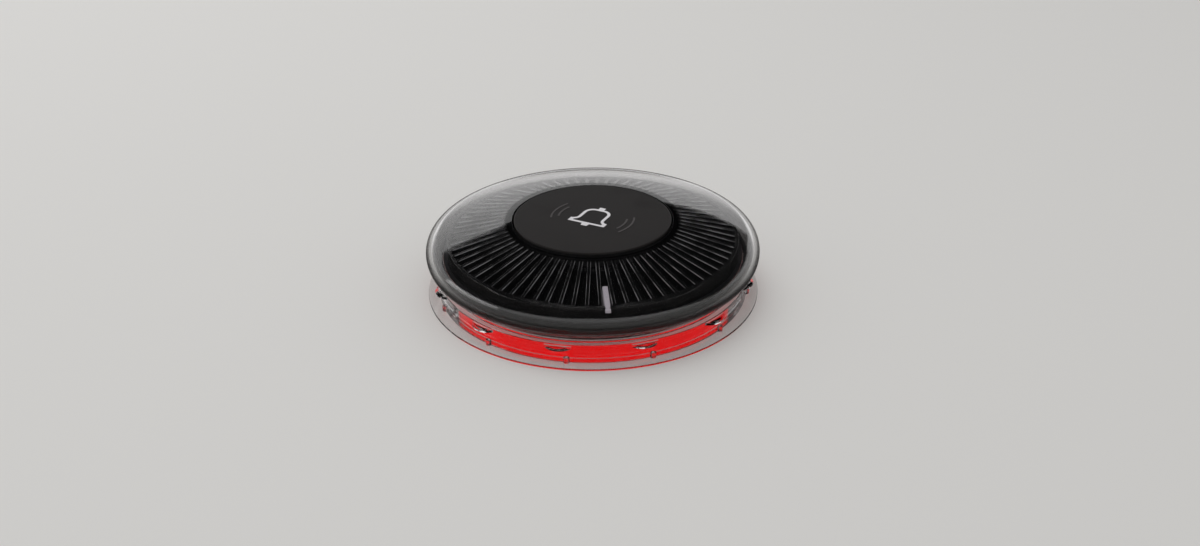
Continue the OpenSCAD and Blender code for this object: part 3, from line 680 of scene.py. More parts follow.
class Finishes(Enum):
    """Every finish of the call button."""

    CLEAR = Finish("clear_moulding", "clear_plastic", (0.95, 0.94, 0.94), (0.93, 0.92, 0.92), 0.02, 0.05,
                   specular=0.3, grain=0, scratch_tint=0.0, transmission=1.0)
    # The smoked dome's colour carries a painted shade near its bore and low on its rim.
    SMOKED = Finish("smoked_dome", "smoked_plastic", (0.71, 0.7, 0.7), (0.69, 0.68, 0.68), 0.02, 0.04,
                    grain=0, scratch_tint=0.0, transmission=1.0,
                    shade=PaintedDomeShade((0.08, 0.078, 0.078), (16.0, 16.6), (7.8, 9.6)))
    RED_LIGHT = Finish("red_light_ring", "red_light", (0.2, 0.002, 0.003), (0.16, 0.002, 0.002), 0.35, 0.4,
                       specular=0.1, grain=0.002, glow=(0.68, 0.0, 0.001), glow_strength=1.0)
    # The fins' colour carries painted highlights along their top edges.
    FIN_BLACK = Finish("fin_moulding", "black_plastic", (0.006, 0.006, 0.006), (0.009, 0.009, 0.009), 0.14,
                       0.24, specular=1.0, grain=0.0004, shade=PaintedFinHighlights((0.34, 0.34, 0.35)))
    BLACK = Finish("black_moulding", "black_plastic", (0.022, 0.022, 0.023), (0.03, 0.03, 0.031), 0.48, 0.6,
                   grain=0.006)
    CAP = Finish("cap_satin", "cap_plastic", (0.021, 0.0178, 0.0172), (0.019, 0.0163, 0.0158), 0.5, 0.54,
                 specular=0.22, grain=0.0012, grain_scale=7000.0, scratch_tint=0.004)
    PRINT = Finish("bell_print", "print_light", (0.8, 0.78, 0.8), (0.74, 0.72, 0.74), 0.5, 0.6,
                   specular=0.3, grain=0.001)
    WAVES = Finish("wave_print", "print_dark", (0.078, 0.07, 0.07), (0.07, 0.063, 0.063), 0.5, 0.55,
                   specular=0.3, grain=0.001)
    GREY = Finish("bar_grey", "grey_plastic", (0.42, 0.39, 0.44), (0.38, 0.35, 0.39), 0.35, 0.45, grain=0.001,
                  glow=(0.42, 0.39, 0.42), glow_strength=0.35)
    RUBBER = Finish("foot_rubber", "soft_black", (0.02, 0.02, 0.02), (0.028, 0.028, 0.027), 0.75, 0.85,
                    specular=0.3, grain=0.01, grain_scale=3000.0)
    RED_RUBBER = Finish("door_ring_rubber", "soft_red", (0.26, 0.02, 0.015), (0.2, 0.015, 0.012), 0.5, 0.6)
    BOARD = Finish("solder_mask", "board", (0.012, 0.1, 0.035), (0.009, 0.08, 0.028), 0.3, 0.4,
                   grain=0.003, grain_scale=1500.0)
    CHIP = Finish("chip_package", "chip", (0.014, 0.014, 0.014), (0.02, 0.02, 0.02), 0.5, 0.6)
    CERAMIC = Finish("chip_ceramic", "ceramic_chips", (0.3, 0.2, 0.12), (0.22, 0.15, 0.09), 0.45, 0.55)
    LAMP = Finish("lamp_body", "lamp", (0.8, 0.74, 0.66), (0.74, 0.68, 0.6), 0.3, 0.4)
    COPPER = Finish("bare_copper", "copper", (0.75, 0.36, 0.2), (0.6, 0.28, 0.16), 0.3, 0.45,
                    metallic=1.0, grain=0.001)
    GOLD = Finish("gold_strip", "spring_metal", (0.8, 0.6, 0.26), (0.7, 0.52, 0.22), 0.25, 0.4,
                  metallic=1.0, grain=0.001)
    STEEL = Finish("bright_steel", "steel", (0.58, 0.58, 0.59), (0.5, 0.5, 0.51), 0.28, 0.42,
                   metallic=1.0, grain=0.001)


class Workshop:
    """Makes pieces from surfaces and puts finishes on pieces and frame nodes.

    Attributes:
        materials: Finish to its built material.
    """

    def __init__(self) -> None:
        """Builds every material once."""
        kit = ShaderKit()
        self.materials = {finish: finish.value.build(kit) for finish in Finishes}

    def piece(
            self, name: str, surface: Surface, finish: Finishes, body: Body, node: str) -> bpy.types.Object:
        """Makes a smooth closed piece, in place of the frame node that it stands for.

        Args:
            name: The piece's name.
            surface: Its shape in millimetres.
            finish: Its finish.
            body: The body it moves with.
            node: Frame node that it stands for.

        Returns:
            The new object.
        """
        mesh = bpy.data.meshes.new(name)
        mesh.from_pydata((surface.points * MM).tolist(), [], surface.quads.tolist())
        shape = bmesh.new()
        shape.from_mesh(mesh)
        bmesh.ops.remove_doubles(shape, verts=shape.verts, dist=MERGE_DISTANCE)
        bmesh.ops.dissolve_degenerate(shape, edges=shape.edges, dist=SLIVER_LENGTH)
        bmesh.ops.recalc_face_normals(shape, faces=shape.faces)
        shape.to_mesh(mesh)
        shape.free()
        mesh.polygons.foreach_set("use_smooth", np.ones(len(mesh.polygons), bool))
        mesh.set_sharp_from_angle(angle=math.radians(CREASE_DEGREES))
        mesh.materials.append(self.materials[finish])
        thing = bpy.data.objects.new(name, mesh)
        bpy.context.scene.collection.objects.link(thing)
        clear = finish.value.transmission > 0
        thing.visible_shadow = not clear
        thing.visible_diffuse = not clear
        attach(thing, body.value)
        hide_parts(node)
        LOG.info("%s: %d faces, rides on %s", name, len(mesh.polygons), body.value)
        return thing

    def dress(self, node: str, finish: Finishes) -> None:
        """Puts a finish on a frame node.

        Args:
            node: The node's name.
            finish: Its finish.
        """
        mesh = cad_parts[node].data
        mesh.materials.clear()
        mesh.materials.append(self.materials[finish])
        LOG.info("%s: dressed in %s, %d faces", node, finish.value.name, len(mesh.polygons))


# ---------------------------------------------------------------- sub-assemblies


def reach(node: str) -> float:
    """Returns the outer radius of a round frame node, in millimetres."""
    return float(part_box(node)[1][0]) / MM


def top(node: str) -> float:
    """Returns the highest point of a frame node, in millimetres."""
    return float(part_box(node)[1][2]) / MM


def foot(node: str) -> float:
    """Returns the lowest point of a frame node, in millimetres."""
    return float(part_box(node)[0][2]) / MM


@dataclass
class ClearBase:
    """Clear moulding with flange, wall, neck, half-round tabs and nubs, and the red ring behind its wall.

    Attributes:
        flange_t: Thickness of the flange.
        flange_w: Width of the flange outside the wall.
        wall_h: Height of the wall above the flange.
        wall_t: Thickness of the wall.
        neck_step: Step in from the wall to the neck.
        neck_t: Thickness of the neck.
        step_t: Height of the step inside the wall's top.
        flange_ease: Rounding of the flange's edges.
        ease: Rounding of the moulded edges.
        steps: Directions in the moulding's turn, a multiple of twice the tabs, which keeps them alike.
        tabs: Number of tabs and of nubs.
        tab_w: Width of a tab.
        tab_out: Distance that a tab stands out.
        tab_t: Thickness of a tab.
        tab_drop: Distance from the wall's top down to a tab's top.
        tab_edge: Heights over which a tab's edge comes out from the wall.
        tab_share: Shares of its reach that a tab has at those heights.
        tab_start: Direction of the first tab.
        nub_turn: Angle from a tab to its nub.
        nub_r: Radius of a nub.
        nub_h: Height of a nub above the flange.
        nub_out: Distance of a nub's middle from the wall.
        nub_sunk: Depth of a nub's foot in the flange.
        nub_ease: Rounding of a nub's top.
        nub_steps: Number of directions in a nub's turn.
        bore_ease: Rounding of the bore's lower edge.
        ring_t: Radial thickness of the red ring.
        lip_w: Width of the red ring's inner lip.
        lip_t: Thickness of that lip.
        lip_up: Height of the lip's underside above the ring's foot.
        ring_ease: Rounding of the ring's edges.
        ring_top_ease: Rounding of its top edges.
    """

    flange_t: float = 0.35
    flange_w: float = 2.2
    wall_h: float = 3.35
    wall_t: float = 3.0
    neck_step: float = 1.1
    neck_t: float = 1.3
    step_t: float = 0.25
    flange_ease: float = 0.1
    ease: float = 0.14
    steps: int = 1008
    tabs: int = 12
    tab_w: float = 4.9
    tab_out: float = 1.4
    tab_t: float = 0.5
    tab_drop: float = 0.2
    tab_edge: tuple[float, float, float] = (0.0, 0.01, 0.09)
    tab_share: tuple[float, float, float] = (0.0, 0.93, 1.0)
    tab_start: float = 15.0
    nub_turn: float = 3.0
    nub_r: float = 0.55
    nub_h: float = 1.0
    nub_out: float = 0.06
    nub_sunk: float = 0.05
    nub_ease: float = 0.15
    nub_steps: int = 20
    bore_ease: float = 0.04
    ring_t: float = 1.2
    lip_w: float = 0.45
    lip_t: float = 0.6
    lip_up: float = 1.25
    ring_ease: float = 0.05
    ring_top_ease: float = 0.15

    def build(self, shop: Workshop) -> None:
        """Makes the clear moulding and the red ring.

        Args:
            shop: Makes the pieces.
        """
        clear = self.moulding().joined(self.nubs())
        shop.piece("clear_base_moulding", clear, Finishes.CLEAR, Body.HOUSING, "clear_base")
        ring = lathe(self.ring_outline())
        shop.piece("red_light_guide", ring, Finishes.RED_LIGHT, Body.HOUSING, "light_ring")

    @property
    def wall_r(self) -> float:
        """Outer radius of the wall."""
        return reach("clear_base") - self.flange_w

    @property
    def flange_top(self) -> float:
        """Height of the flange's upper face."""
        return foot("clear_base") + self.flange_t

    def moulding(self) -> Surface:
        """The turned moulding, whose wall swells out to a half-round tab at each tab's direction.

        A tab is part of a circle of radius q centred inside the wall, so at the sideways distance y from its
        middle it stands out by sqrt(q^2 - y^2) - (q - tab_out), and by nothing where that is negative.

        Returns:
            The closed surface.
        """
        e, r, low = self.ease, self.wall_r, foot("clear_base")
        far, high = reach("clear_base"), top("clear_base")
        top_z = self.flange_top + self.wall_h
        tab_top = top_z - self.tab_drop
        tab_low = tab_top - self.tab_t
        bore, neck = r - self.wall_t, r - self.neck_step
        rise = np.array(self.tab_edge)
        tab_z = np.concatenate([tab_low + rise, (tab_top - rise)[::-1]])
        outline = rounded([
            (bore, low, self.bore_ease), (far, low, self.flange_ease),
            (far, self.flange_top, self.flange_ease), (r, self.flange_top, e),
            *((r, level, 0) for level in tab_z), (r, top_z, e), (neck, top_z, e),
            (neck, high, e), (neck - self.neck_t, high, e),
            (neck - self.neck_t, top_z - self.step_t, e), (bore, top_z - self.step_t, e),
        ])
        a = np.linspace(0, 360, self.steps, endpoint=False)
        pitch = 360 / self.tabs
        off = (a - self.tab_start + pitch / 2) % pitch - pitch / 2
        q = ((self.tab_w / 2) ** 2 + self.tab_out ** 2) / (2 * self.tab_out)
        y = r * np.radians(off)
        bulge = np.maximum(np.sqrt(np.maximum(q ** 2 - y ** 2, 0)) - (q - self.tab_out), 0)
        on_wall = np.isclose(outline[:, 0], r, rtol=0, atol=1e-6)
        share = np.interp(outline[:, 1], tab_z, [*self.tab_share, *self.tab_share[::-1]])
        return lathe(outline, self.steps, np.where(on_wall, share, 0)[:, None] * bulge)

    def nubs(self) -> Surface:
        """Small round studs at the foot of the wall, one beside each tab.

        Returns:
            All studs as one surface.
        """
        low = self.flange_top - self.nub_sunk
        high = self.flange_top + self.nub_h
        outline = rounded(
            [(0, low, 0), (self.nub_r, low, 0), (self.nub_r, high, self.nub_ease), (0, high, 0)], 4)
        stud = lathe(outline, self.nub_steps)
        stud.points[:, 0] += self.wall_r + self.nub_out
        pitch = 360 / self.tabs
        return turned(stud, self.tab_start + self.nub_turn + pitch * np.arange(self.tabs))

    def ring_outline(self) -> np.ndarray:
        """Section of the red ring: a wall with a lip over the bottom plate's rim.

        Returns:
            The closed outline.
        """
        outer, low, high = reach("light_ring"), foot("light_ring"), top("light_ring")
        inner = outer - self.ring_t
        lip_r, lip_z = inner - self.lip_w, low + self.lip_up
        lip_top = lip_z + self.lip_t
        e, crest = self.ring_ease, self.ring_top_ease
        return rounded([
            (inner, low, e), (outer, low, e), (outer, high, crest), (inner, high, crest),
            (inner, lip_top, e), (lip_r, lip_top, e), (lip_r, lip_z, e), (inner, lip_z, e),
        ], 5)


@dataclass
class SmokedDome:
    """Smoked clear dome: a crown that runs into a bull-nosed rim with a lip.

    Attributes:
        rim_r: Outer radius of the rim's section.
        wall: Thickness of the dome.
        crown_r: Radius of the crown's curve in section.
        crown_rise: Height of the crown's inner edge over the middle of the rim's section.
        lip_end: Direction in which the rim's section ends.
        lip_lead: Angle before that end at which the rim's arcs stop.
        lip_ease: Rounding of the lip's two edges.
        guide_t: Thickness of the guide's wall, which starts at the dome's bore.
        steps: Number of directions in the dome's turn.
        crown_points: Number of points on each of the crown's two faces.
        under_points: Number of points on the rim's inner face.
        rim_points: Number of points on the rim's outer face.
        lip_points: Number of points on each rounded edge of the lip.
    """

    rim_r: float = 3.3
    wall: float = 1.2
    crown_r: float = 60.0
    crown_rise: float = 5.4
    lip_end: float = -84.0
    lip_lead: float = 8.0
    lip_ease: float = 0.2
    guide_t: float = 0.6
    steps: int = 468
    crown_points: int = 40
    under_points: int = 48
    rim_points: int = 72
    lip_points: int = 5

    def build(self, shop: Workshop) -> None:
        """Makes the dome in the workshop."""
        shell = lathe(self.outline(), self.steps)
        shop.piece("smoked_dome_shell", shell, Finishes.SMOKED, Body.HOUSING, "dome_cover")

    def centres(self) -> tuple[np.ndarray, np.ndarray, np.ndarray]:
        """Centres of the rim's and crown's arcs, and the bore's upper edge.

        The crown's circle passes through the bore's edge and holds the rim's circle, touching it from inside,
        so its centre is crown_r from the edge and crown_r - rim_r from the rim's centre.

        Returns:
            Rim centre, crown centre and edge, each as (radius, height).
        """
        rim = np.array([reach("dome_cover") - self.rim_r, foot("dome_cover") + self.rim_r])
        edge = np.array([reach("button_guide") - self.guide_t, rim[1] + self.crown_rise])
        span = rim - edge
        length = np.linalg.norm(span)
        along = (self.crown_r ** 2 - (self.crown_r - self.rim_r) ** 2 + length ** 2) / (2 * length)
        down = math.sqrt(self.crown_r ** 2 - along ** 2)
        crown = edge + (along * span + down * np.array([span[1], -span[0]])) / length
        return rim, crown, edge

    def outline(self) -> np.ndarray:
        """Section of the dome, inner face outwards and outer face back.

        Both faces are arcs about the crown's and the rim's centres. The lip between them has rounded edges.

        Returns:
            The closed outline.
        """
        rim, crown, edge = self.centres()
        touch = math.degrees(math.atan2(*(rim - crown)[::-1]))
        start = math.degrees(math.atan2(*(edge - crown)[::-1]))
        lead = self.lip_end + self.lip_lead
        inner_r, inner_crown = self.rim_r - self.wall, self.crown_r - self.wall
        r_in = np.linspace(edge[0], (crown + inner_crown * direction(touch))[0], self.crown_points)
        crown_under = np.column_stack([r_in, crown[1] + np.sqrt(inner_crown ** 2 - (r_in - crown[0]) ** 2)])
        rim_under = arc(rim, inner_r, touch, lead, self.under_points)[1:]
        rim_face = arc(rim, self.rim_r, lead, touch, self.rim_points)
        crown_face = arc(crown, self.crown_r, touch, start, self.crown_points)[1:]
        lip_in, lip_out = (rim + r * direction(self.lip_end) for r in (inner_r, self.rim_r))
        return np.vstack([
            crown_under, rim_under,
            corner_arc(rim_under[-1], lip_in, lip_out, self.lip_ease, self.lip_points),
            corner_arc(lip_in, lip_out, rim_face[0], self.lip_ease, self.lip_points),
            rim_face, crown_face,
        ])


@dataclass
class FinRing:
    """Black moulding of radial fins, with its sloped floor and its two walls.

    Attributes:
        fins: Number of fins.
        fin_t: Thickness of a fin.
        fin_h: Height of a fin above the floor.
        floor_t: Thickness of floor and walls.
        start: Radius at which the fins start.
        drop: Fall of the fins' top edge from the inner to the outer end.
        inner_low: Distance from the fins' inner top down to the inner wall's top.
        inner_in: Distance from the fins' start in to the inner wall's bore.
        inner_out: Distance from the fins' start out to the inner wall's face.
        sunk: Share of the floor's thickness by which a fin stands in the floor and in the outer wall.
        ease: Rounding of the fins' top edges.
        foot_ease: Rounding of the lower edges of bore and outer wall.
        wall_ease: Rounding of the inner wall's outer edge and of the corner under the floor.
        rim_ease: Rounding of the outer wall's top edges.
        bore_ease: Rounding of the inner wall's edge at the bore.
        fillet: Rounding between the floor and both walls.
    """

    fins: int = 72
    fin_t: float = 0.65
    fin_h: float = 1.6
    floor_t: float = 0.6
    start: float = 15.8
    drop: float = 2.6
    inner_low: float = 1.1
    inner_in: float = 0.15
    inner_out: float = 0.4
    sunk: float = 0.4
    ease: float = 0.19
    foot_ease: float = 0.05
    wall_ease: float = 0.1
    rim_ease: float = 0.12
    bore_ease: float = 0.08
    fillet: float = 0.15

    def build(self, shop: Workshop) -> None:
        """Makes the moulding.

        Args:
            shop: Makes the piece.
        """
        angles = 360 / self.fins * np.arange(self.fins)
        moulding = lathe(self.floor_outline()).joined(turned(self.fin(), angles))
        shop.piece("radial_fins", moulding, Finishes.FIN_BLACK, Body.HOUSING, "fin_ring")

    @property
    def end(self) -> float:
        """Radius at which the fins meet the outer wall."""
        return reach("fin_ring") - self.floor_t

    def height(self, r: np.ndarray | float) -> np.ndarray | float:
        """Returns the height of the fins' top edge at a radius, on a straight slope."""
        return top("fin_ring") - self.drop * (r - self.start) / (self.end - self.start)

    def floor_outline(self) -> np.ndarray:
        """Section of inner wall, sloped floor and outer wall.

        Returns:
            The closed outline.
        """
        bore, wall, rim = self.start - self.inner_in, self.start + self.inner_out, self.end + self.floor_t
        low, inner_top, end = foot("fin_ring"), self.height(self.start) - self.inner_low, self.end
        floor0, floor1, floor2 = (self.height(r) - self.fin_h for r in (self.start, wall, end))
        t, high = self.floor_t, self.height(end)
        return rounded([
            (bore, floor0 - t, self.foot_ease), (wall, floor1 - t, 0), (end, floor2 - t, self.wall_ease),
            (end, low, self.foot_ease), (rim, low, self.foot_ease), (rim, high, self.rim_ease),
            (end, high, self.rim_ease), (end, floor2, self.fillet), (wall, floor1, self.fillet),
            (wall, inner_top, self.wall_ease), (bore, inner_top, self.bore_ease),
        ], 5)

    def fin(self) -> Surface:
        """One fin at direction 0, carried along its straight top edge.

        Returns:
            The closed surface.
        """
        sunk = self.floor_t * self.sunk
        r = np.array([self.start, self.end + sunk])
        high = self.height(r)
        return beam(r, high - self.fin_h - sunk, high, self.fin_t, self.ease)


@dataclass
class IndicatorBar:
    """Grey light pipe that stands between two fins and leads down to its light on the board.

    Attributes:
        width: Width of the bar.
        length: Length of the part that stands up between the fins.
        turn: Direction of the bar round the body.
        over: Distance that the upper part reaches past the fins' outer wall.
        run: Distance from the upper part's inner end in to the foot's inner end.
        lap: Distance that the lower part runs under the upper part.
        foot_l: Length of the foot over the light.
        foot_lap: Height over which the foot goes up in the lower part.
        tip_t: Height of the upper part at its outer end.
        sunk: Distance from the fins' tops down to the lower part's top.
        lift: Height of the underside above that distance at the fins' outer ends.
        proud: Height of the bar above the fins.
        ease: Rounding of the bar's long edges.
    """

    width: float = 0.93
    length: float = 5.3
    turn: float = 302.5
    over: float = 0.6
    run: float = 2.2
    lap: float = 0.3
    foot_l: float = 1.4
    foot_lap: float = 0.4
    tip_t: float = 0.45
    sunk: float = 1.6
    lift: float = 0.1
    proud: float = 0.12
    ease: float = 0.16

    def build(self, shop: Workshop) -> None:
        """Makes the bar.

        Args:
            shop: Makes the piece.
        """
        fins = FinRing()
        outer = fins.end + fins.floor_t + self.over
        inner = outer - self.length
        begin = inner - self.run
        low = float(fins.height(fins.end)) - self.sunk + self.lift
        step = float(fins.height(inner)) - self.sunk
        ends = np.array([inner, outer])
        high = fins.height(ends) + self.proud
        level = np.array([low, low])
        lap_ends = np.array([begin, inner + self.lap])
        foot_ends = np.array([begin, begin + self.foot_l])
        upper = beam(ends, np.array([low, high[1] - self.tip_t]), high, self.width, self.ease)
        lower = beam(lap_ends, level, np.array([step, step]), self.width, self.ease)
        leg = beam(foot_ends, np.full(2, foot("indicator_bar")), level + self.foot_lap, self.width, self.ease)
        bar = turned(upper.joined(lower).joined(leg), np.array([self.turn]))
        shop.piece("grey_light_pipe", bar, Finishes.GREY, Body.HOUSING, "indicator_bar")

@dataclass
class CapGuide:
    """Black wall round the cap with its ledge, and a thin black lining up the dome's bore as painted shade in
    the gap.

    Attributes:
        wall: Thickness of the wall.
        ledge_w: Width of the ledge.
        ledge_t: Thickness of the ledge.
        seal_gap: Height of the soft ring above the ledge.
        shade_lining: Thickness of the black lining that paints shade in the gap, half of it in the dome's
            edge.
        shade_lining_drop: Distance from the dome's edge down to the lining's top.
        ease: Rounding of the wall's lower edges.
        top_ease: Rounding of its upper edge and of the ledge.
        shade_lining_ease: Rounding of the lining's top.
        steps: Number of directions in the wall's turn.
    """

    wall: float = 0.6
    ledge_w: float = 1.65
    ledge_t: float = 0.6
    seal_gap: float = 0.02
    shade_lining: float = 0.08
    shade_lining_drop: float = 0.03
    ease: float = 0.05
    top_ease: float = 0.1
    shade_lining_ease: float = 0.01
    steps: int = 256

    def build(self, shop: Workshop) -> None:
        """Makes the guide in the workshop."""
        wall = lathe(self.outline(), self.steps)
        shop.piece("cap_guide_wall", wall, Finishes.BLACK, Body.HOUSING, "button_guide")

    def outline(self) -> np.ndarray:
        """Section of wall, ledge and black shade lining.

        Returns:
            The closed outline.
        """
        outer, low, high = reach("button_guide"), foot("button_guide"), top("button_guide")
        bore = outer - self.wall
        # The lining is a thin black sheet that paints shade into the gap round the cap.
        face = bore - self.shade_lining / 2
        shoulder = bore + self.shade_lining / 2
        rim_z = top("dome_cover") - self.shade_lining_drop
        ledge_z = foot("button_seal") - self.seal_gap
        ledge_r, ledge_low = bore - self.ledge_w, ledge_z - self.ledge_t
        e, wide, fine = self.ease, self.top_ease, self.shade_lining_ease
        return rounded([
            (bore, low, e), (outer, low, e), (outer, high, wide), (shoulder, high, 0),
            (shoulder, rim_z, fine), (face, rim_z, fine), (face, ledge_z, 0), (ledge_r, ledge_z, wide),
            (ledge_r, ledge_low, wide), (bore, ledge_low, 0),
        ], 4)


@dataclass
class PressCap:
    """Charcoal cap with skirt, stem and three hooked legs, and the print on its face.

    Attributes:
        plate: Thickness of the face plate.
        skirt_in: Distance from the cap's edge in to the skirt.
        skirt_t: Thickness of the skirt.
        skirt_h: Depth of the skirt.
        stem_r: Radius of the stem.
        stem_gap: Distance from the plunger up to the stem.
        legs: Number of legs.
        leg_r: Outer radius of the legs.
        leg_t: Thickness of the legs.
        leg_span: Width of a leg.
        leg_start: Direction of the first leg.
        leg_lap: Height over which a leg goes up in the face plate.
        hook_out: Distance that a hook stands out.
        hook_t: Thickness of a hook.
        hook_in: Distance from the leg's inner face out to the hook's start.
        hook_up: Height of the hook's underside over the leg's end.
        ease: Rounding of the cap's top edge.
        low_ease: Rounding of the cap's lower edge.
        step_ease: Rounding between that edge and the skirt.
        end_ease: Rounding of the ends of stem and skirt.
        fillet: Rounding where stem and skirt meet the face plate.
    """

    plate: float = 1.15
    skirt_in: float = 0.15
    skirt_t: float = 0.95
    skirt_h: float = 1.5
    stem_r: float = 2.0
    stem_gap: float = 0.05
    legs: int = 3
    leg_r: float = 13.1
    leg_t: float = 0.8
    leg_span: float = 14.0
    leg_start: float = 30.0
    leg_lap: float = 0.3
    hook_out: float = 1.0
    hook_t: float = 0.6
    hook_in: float = 0.1
    hook_up: float = 0.02
    ease: float = 0.22
    low_ease: float = 0.05
    step_ease: float = 0.03
    end_ease: float = 0.1
    fillet: float = 0.2

    def build(self, shop: Workshop) -> None:
        """Makes the cap and dresses its print.

        Args:
            shop: Makes the piece and dresses the nodes.
        """
        shop.piece("satin_cap", self.moulding(), Finishes.CAP, Body.BUTTON, "button_cap")
        shop.dress("bell_symbol", Finishes.PRINT)
        shop.dress("wave_marks", Finishes.WAVES)

    def moulding(self) -> Surface:
        """The turned cap joined with its three legs.

        Returns:
            The surface.
        """
        outer, face = reach("button_cap"), top("button_cap")
        under = face - self.plate
        stem_z = top("switch_plunger") + self.stem_gap
        skirt = outer - self.skirt_in
        inside, skirt_z = skirt - self.skirt_t, under - self.skirt_h
        outline = rounded([
            (0, stem_z, 0), (self.stem_r, stem_z, self.end_ease), (self.stem_r, under, self.fillet),
            (inside, under, self.fillet), (inside, skirt_z, self.end_ease), (skirt, skirt_z, self.end_ease),
            (skirt, under, self.step_ease), (outer, under, self.low_ease), (outer, face, self.ease),
            (0, face, 0),
        ])
        angles = self.leg_start + 360 / self.legs * np.arange(self.legs)
        legs = turned(self.leg(under + self.leg_lap), angles)
        return lathe(outline).joined(legs)

    def leg(self, high: float) -> Surface:
        """One leg at direction 0: an upright and its hook, each a rectangle carried over the leg's width.

        Args:
            high: Height of the upright's top.

        Returns:
            Upright and hook as one surface.
        """
        half, low, inner = self.leg_span / 2, foot("button_cap"), self.leg_r - self.leg_t
        start, end = inner + self.hook_in, self.leg_r + self.hook_out
        hook_low, hook_high = low + self.hook_up, low + self.hook_t
        upright = np.array([(inner, low), (self.leg_r, low), (self.leg_r, high), (inner, high)])
        hook = np.array([(start, hook_low), (end, hook_low), (end, hook_high), (start, hook_high)])
        return ring_block(upright, -half, half).joined(ring_block(hook, -half, half))


class Inside:
    """Underside and working parts, which keep the frame's shapes."""

    FINISH = {
        "bottom_plate": Finishes.BLACK, "battery_door": Finishes.BLACK, "chassis": Finishes.BLACK,
        "cell_holder": Finishes.BLACK, "foot_pad": Finishes.RUBBER,
        "button_seal": Finishes.RUBBER, "dome_seal": Finishes.RUBBER, "door_seal": Finishes.RED_RUBBER,
        "base_screws": Finishes.STEEL, "coin_cell": Finishes.STEEL, "switch_cover": Finishes.STEEL,
        "switch_pins": Finishes.STEEL, "snap_disc": Finishes.STEEL, "crystal": Finishes.STEEL,
        "positive_terminal": Finishes.GOLD, "negative_terminal": Finishes.GOLD, "antenna": Finishes.COPPER,
        "circuit_board": Finishes.BOARD, "radio_chip": Finishes.CHIP, "switch_base": Finishes.CHIP,
        "switch_plunger": Finishes.CHIP, "board_parts": Finishes.CERAMIC, "ring_leds": Finishes.LAMP,
        "status_led": Finishes.LAMP,
    }

    def build(self, shop: Workshop) -> None:
        """Dresses every working part in the workshop."""
        for node, finish in self.FINISH.items():
            shop.dress(node, finish)


# ---------------------------------------------------------------- studio


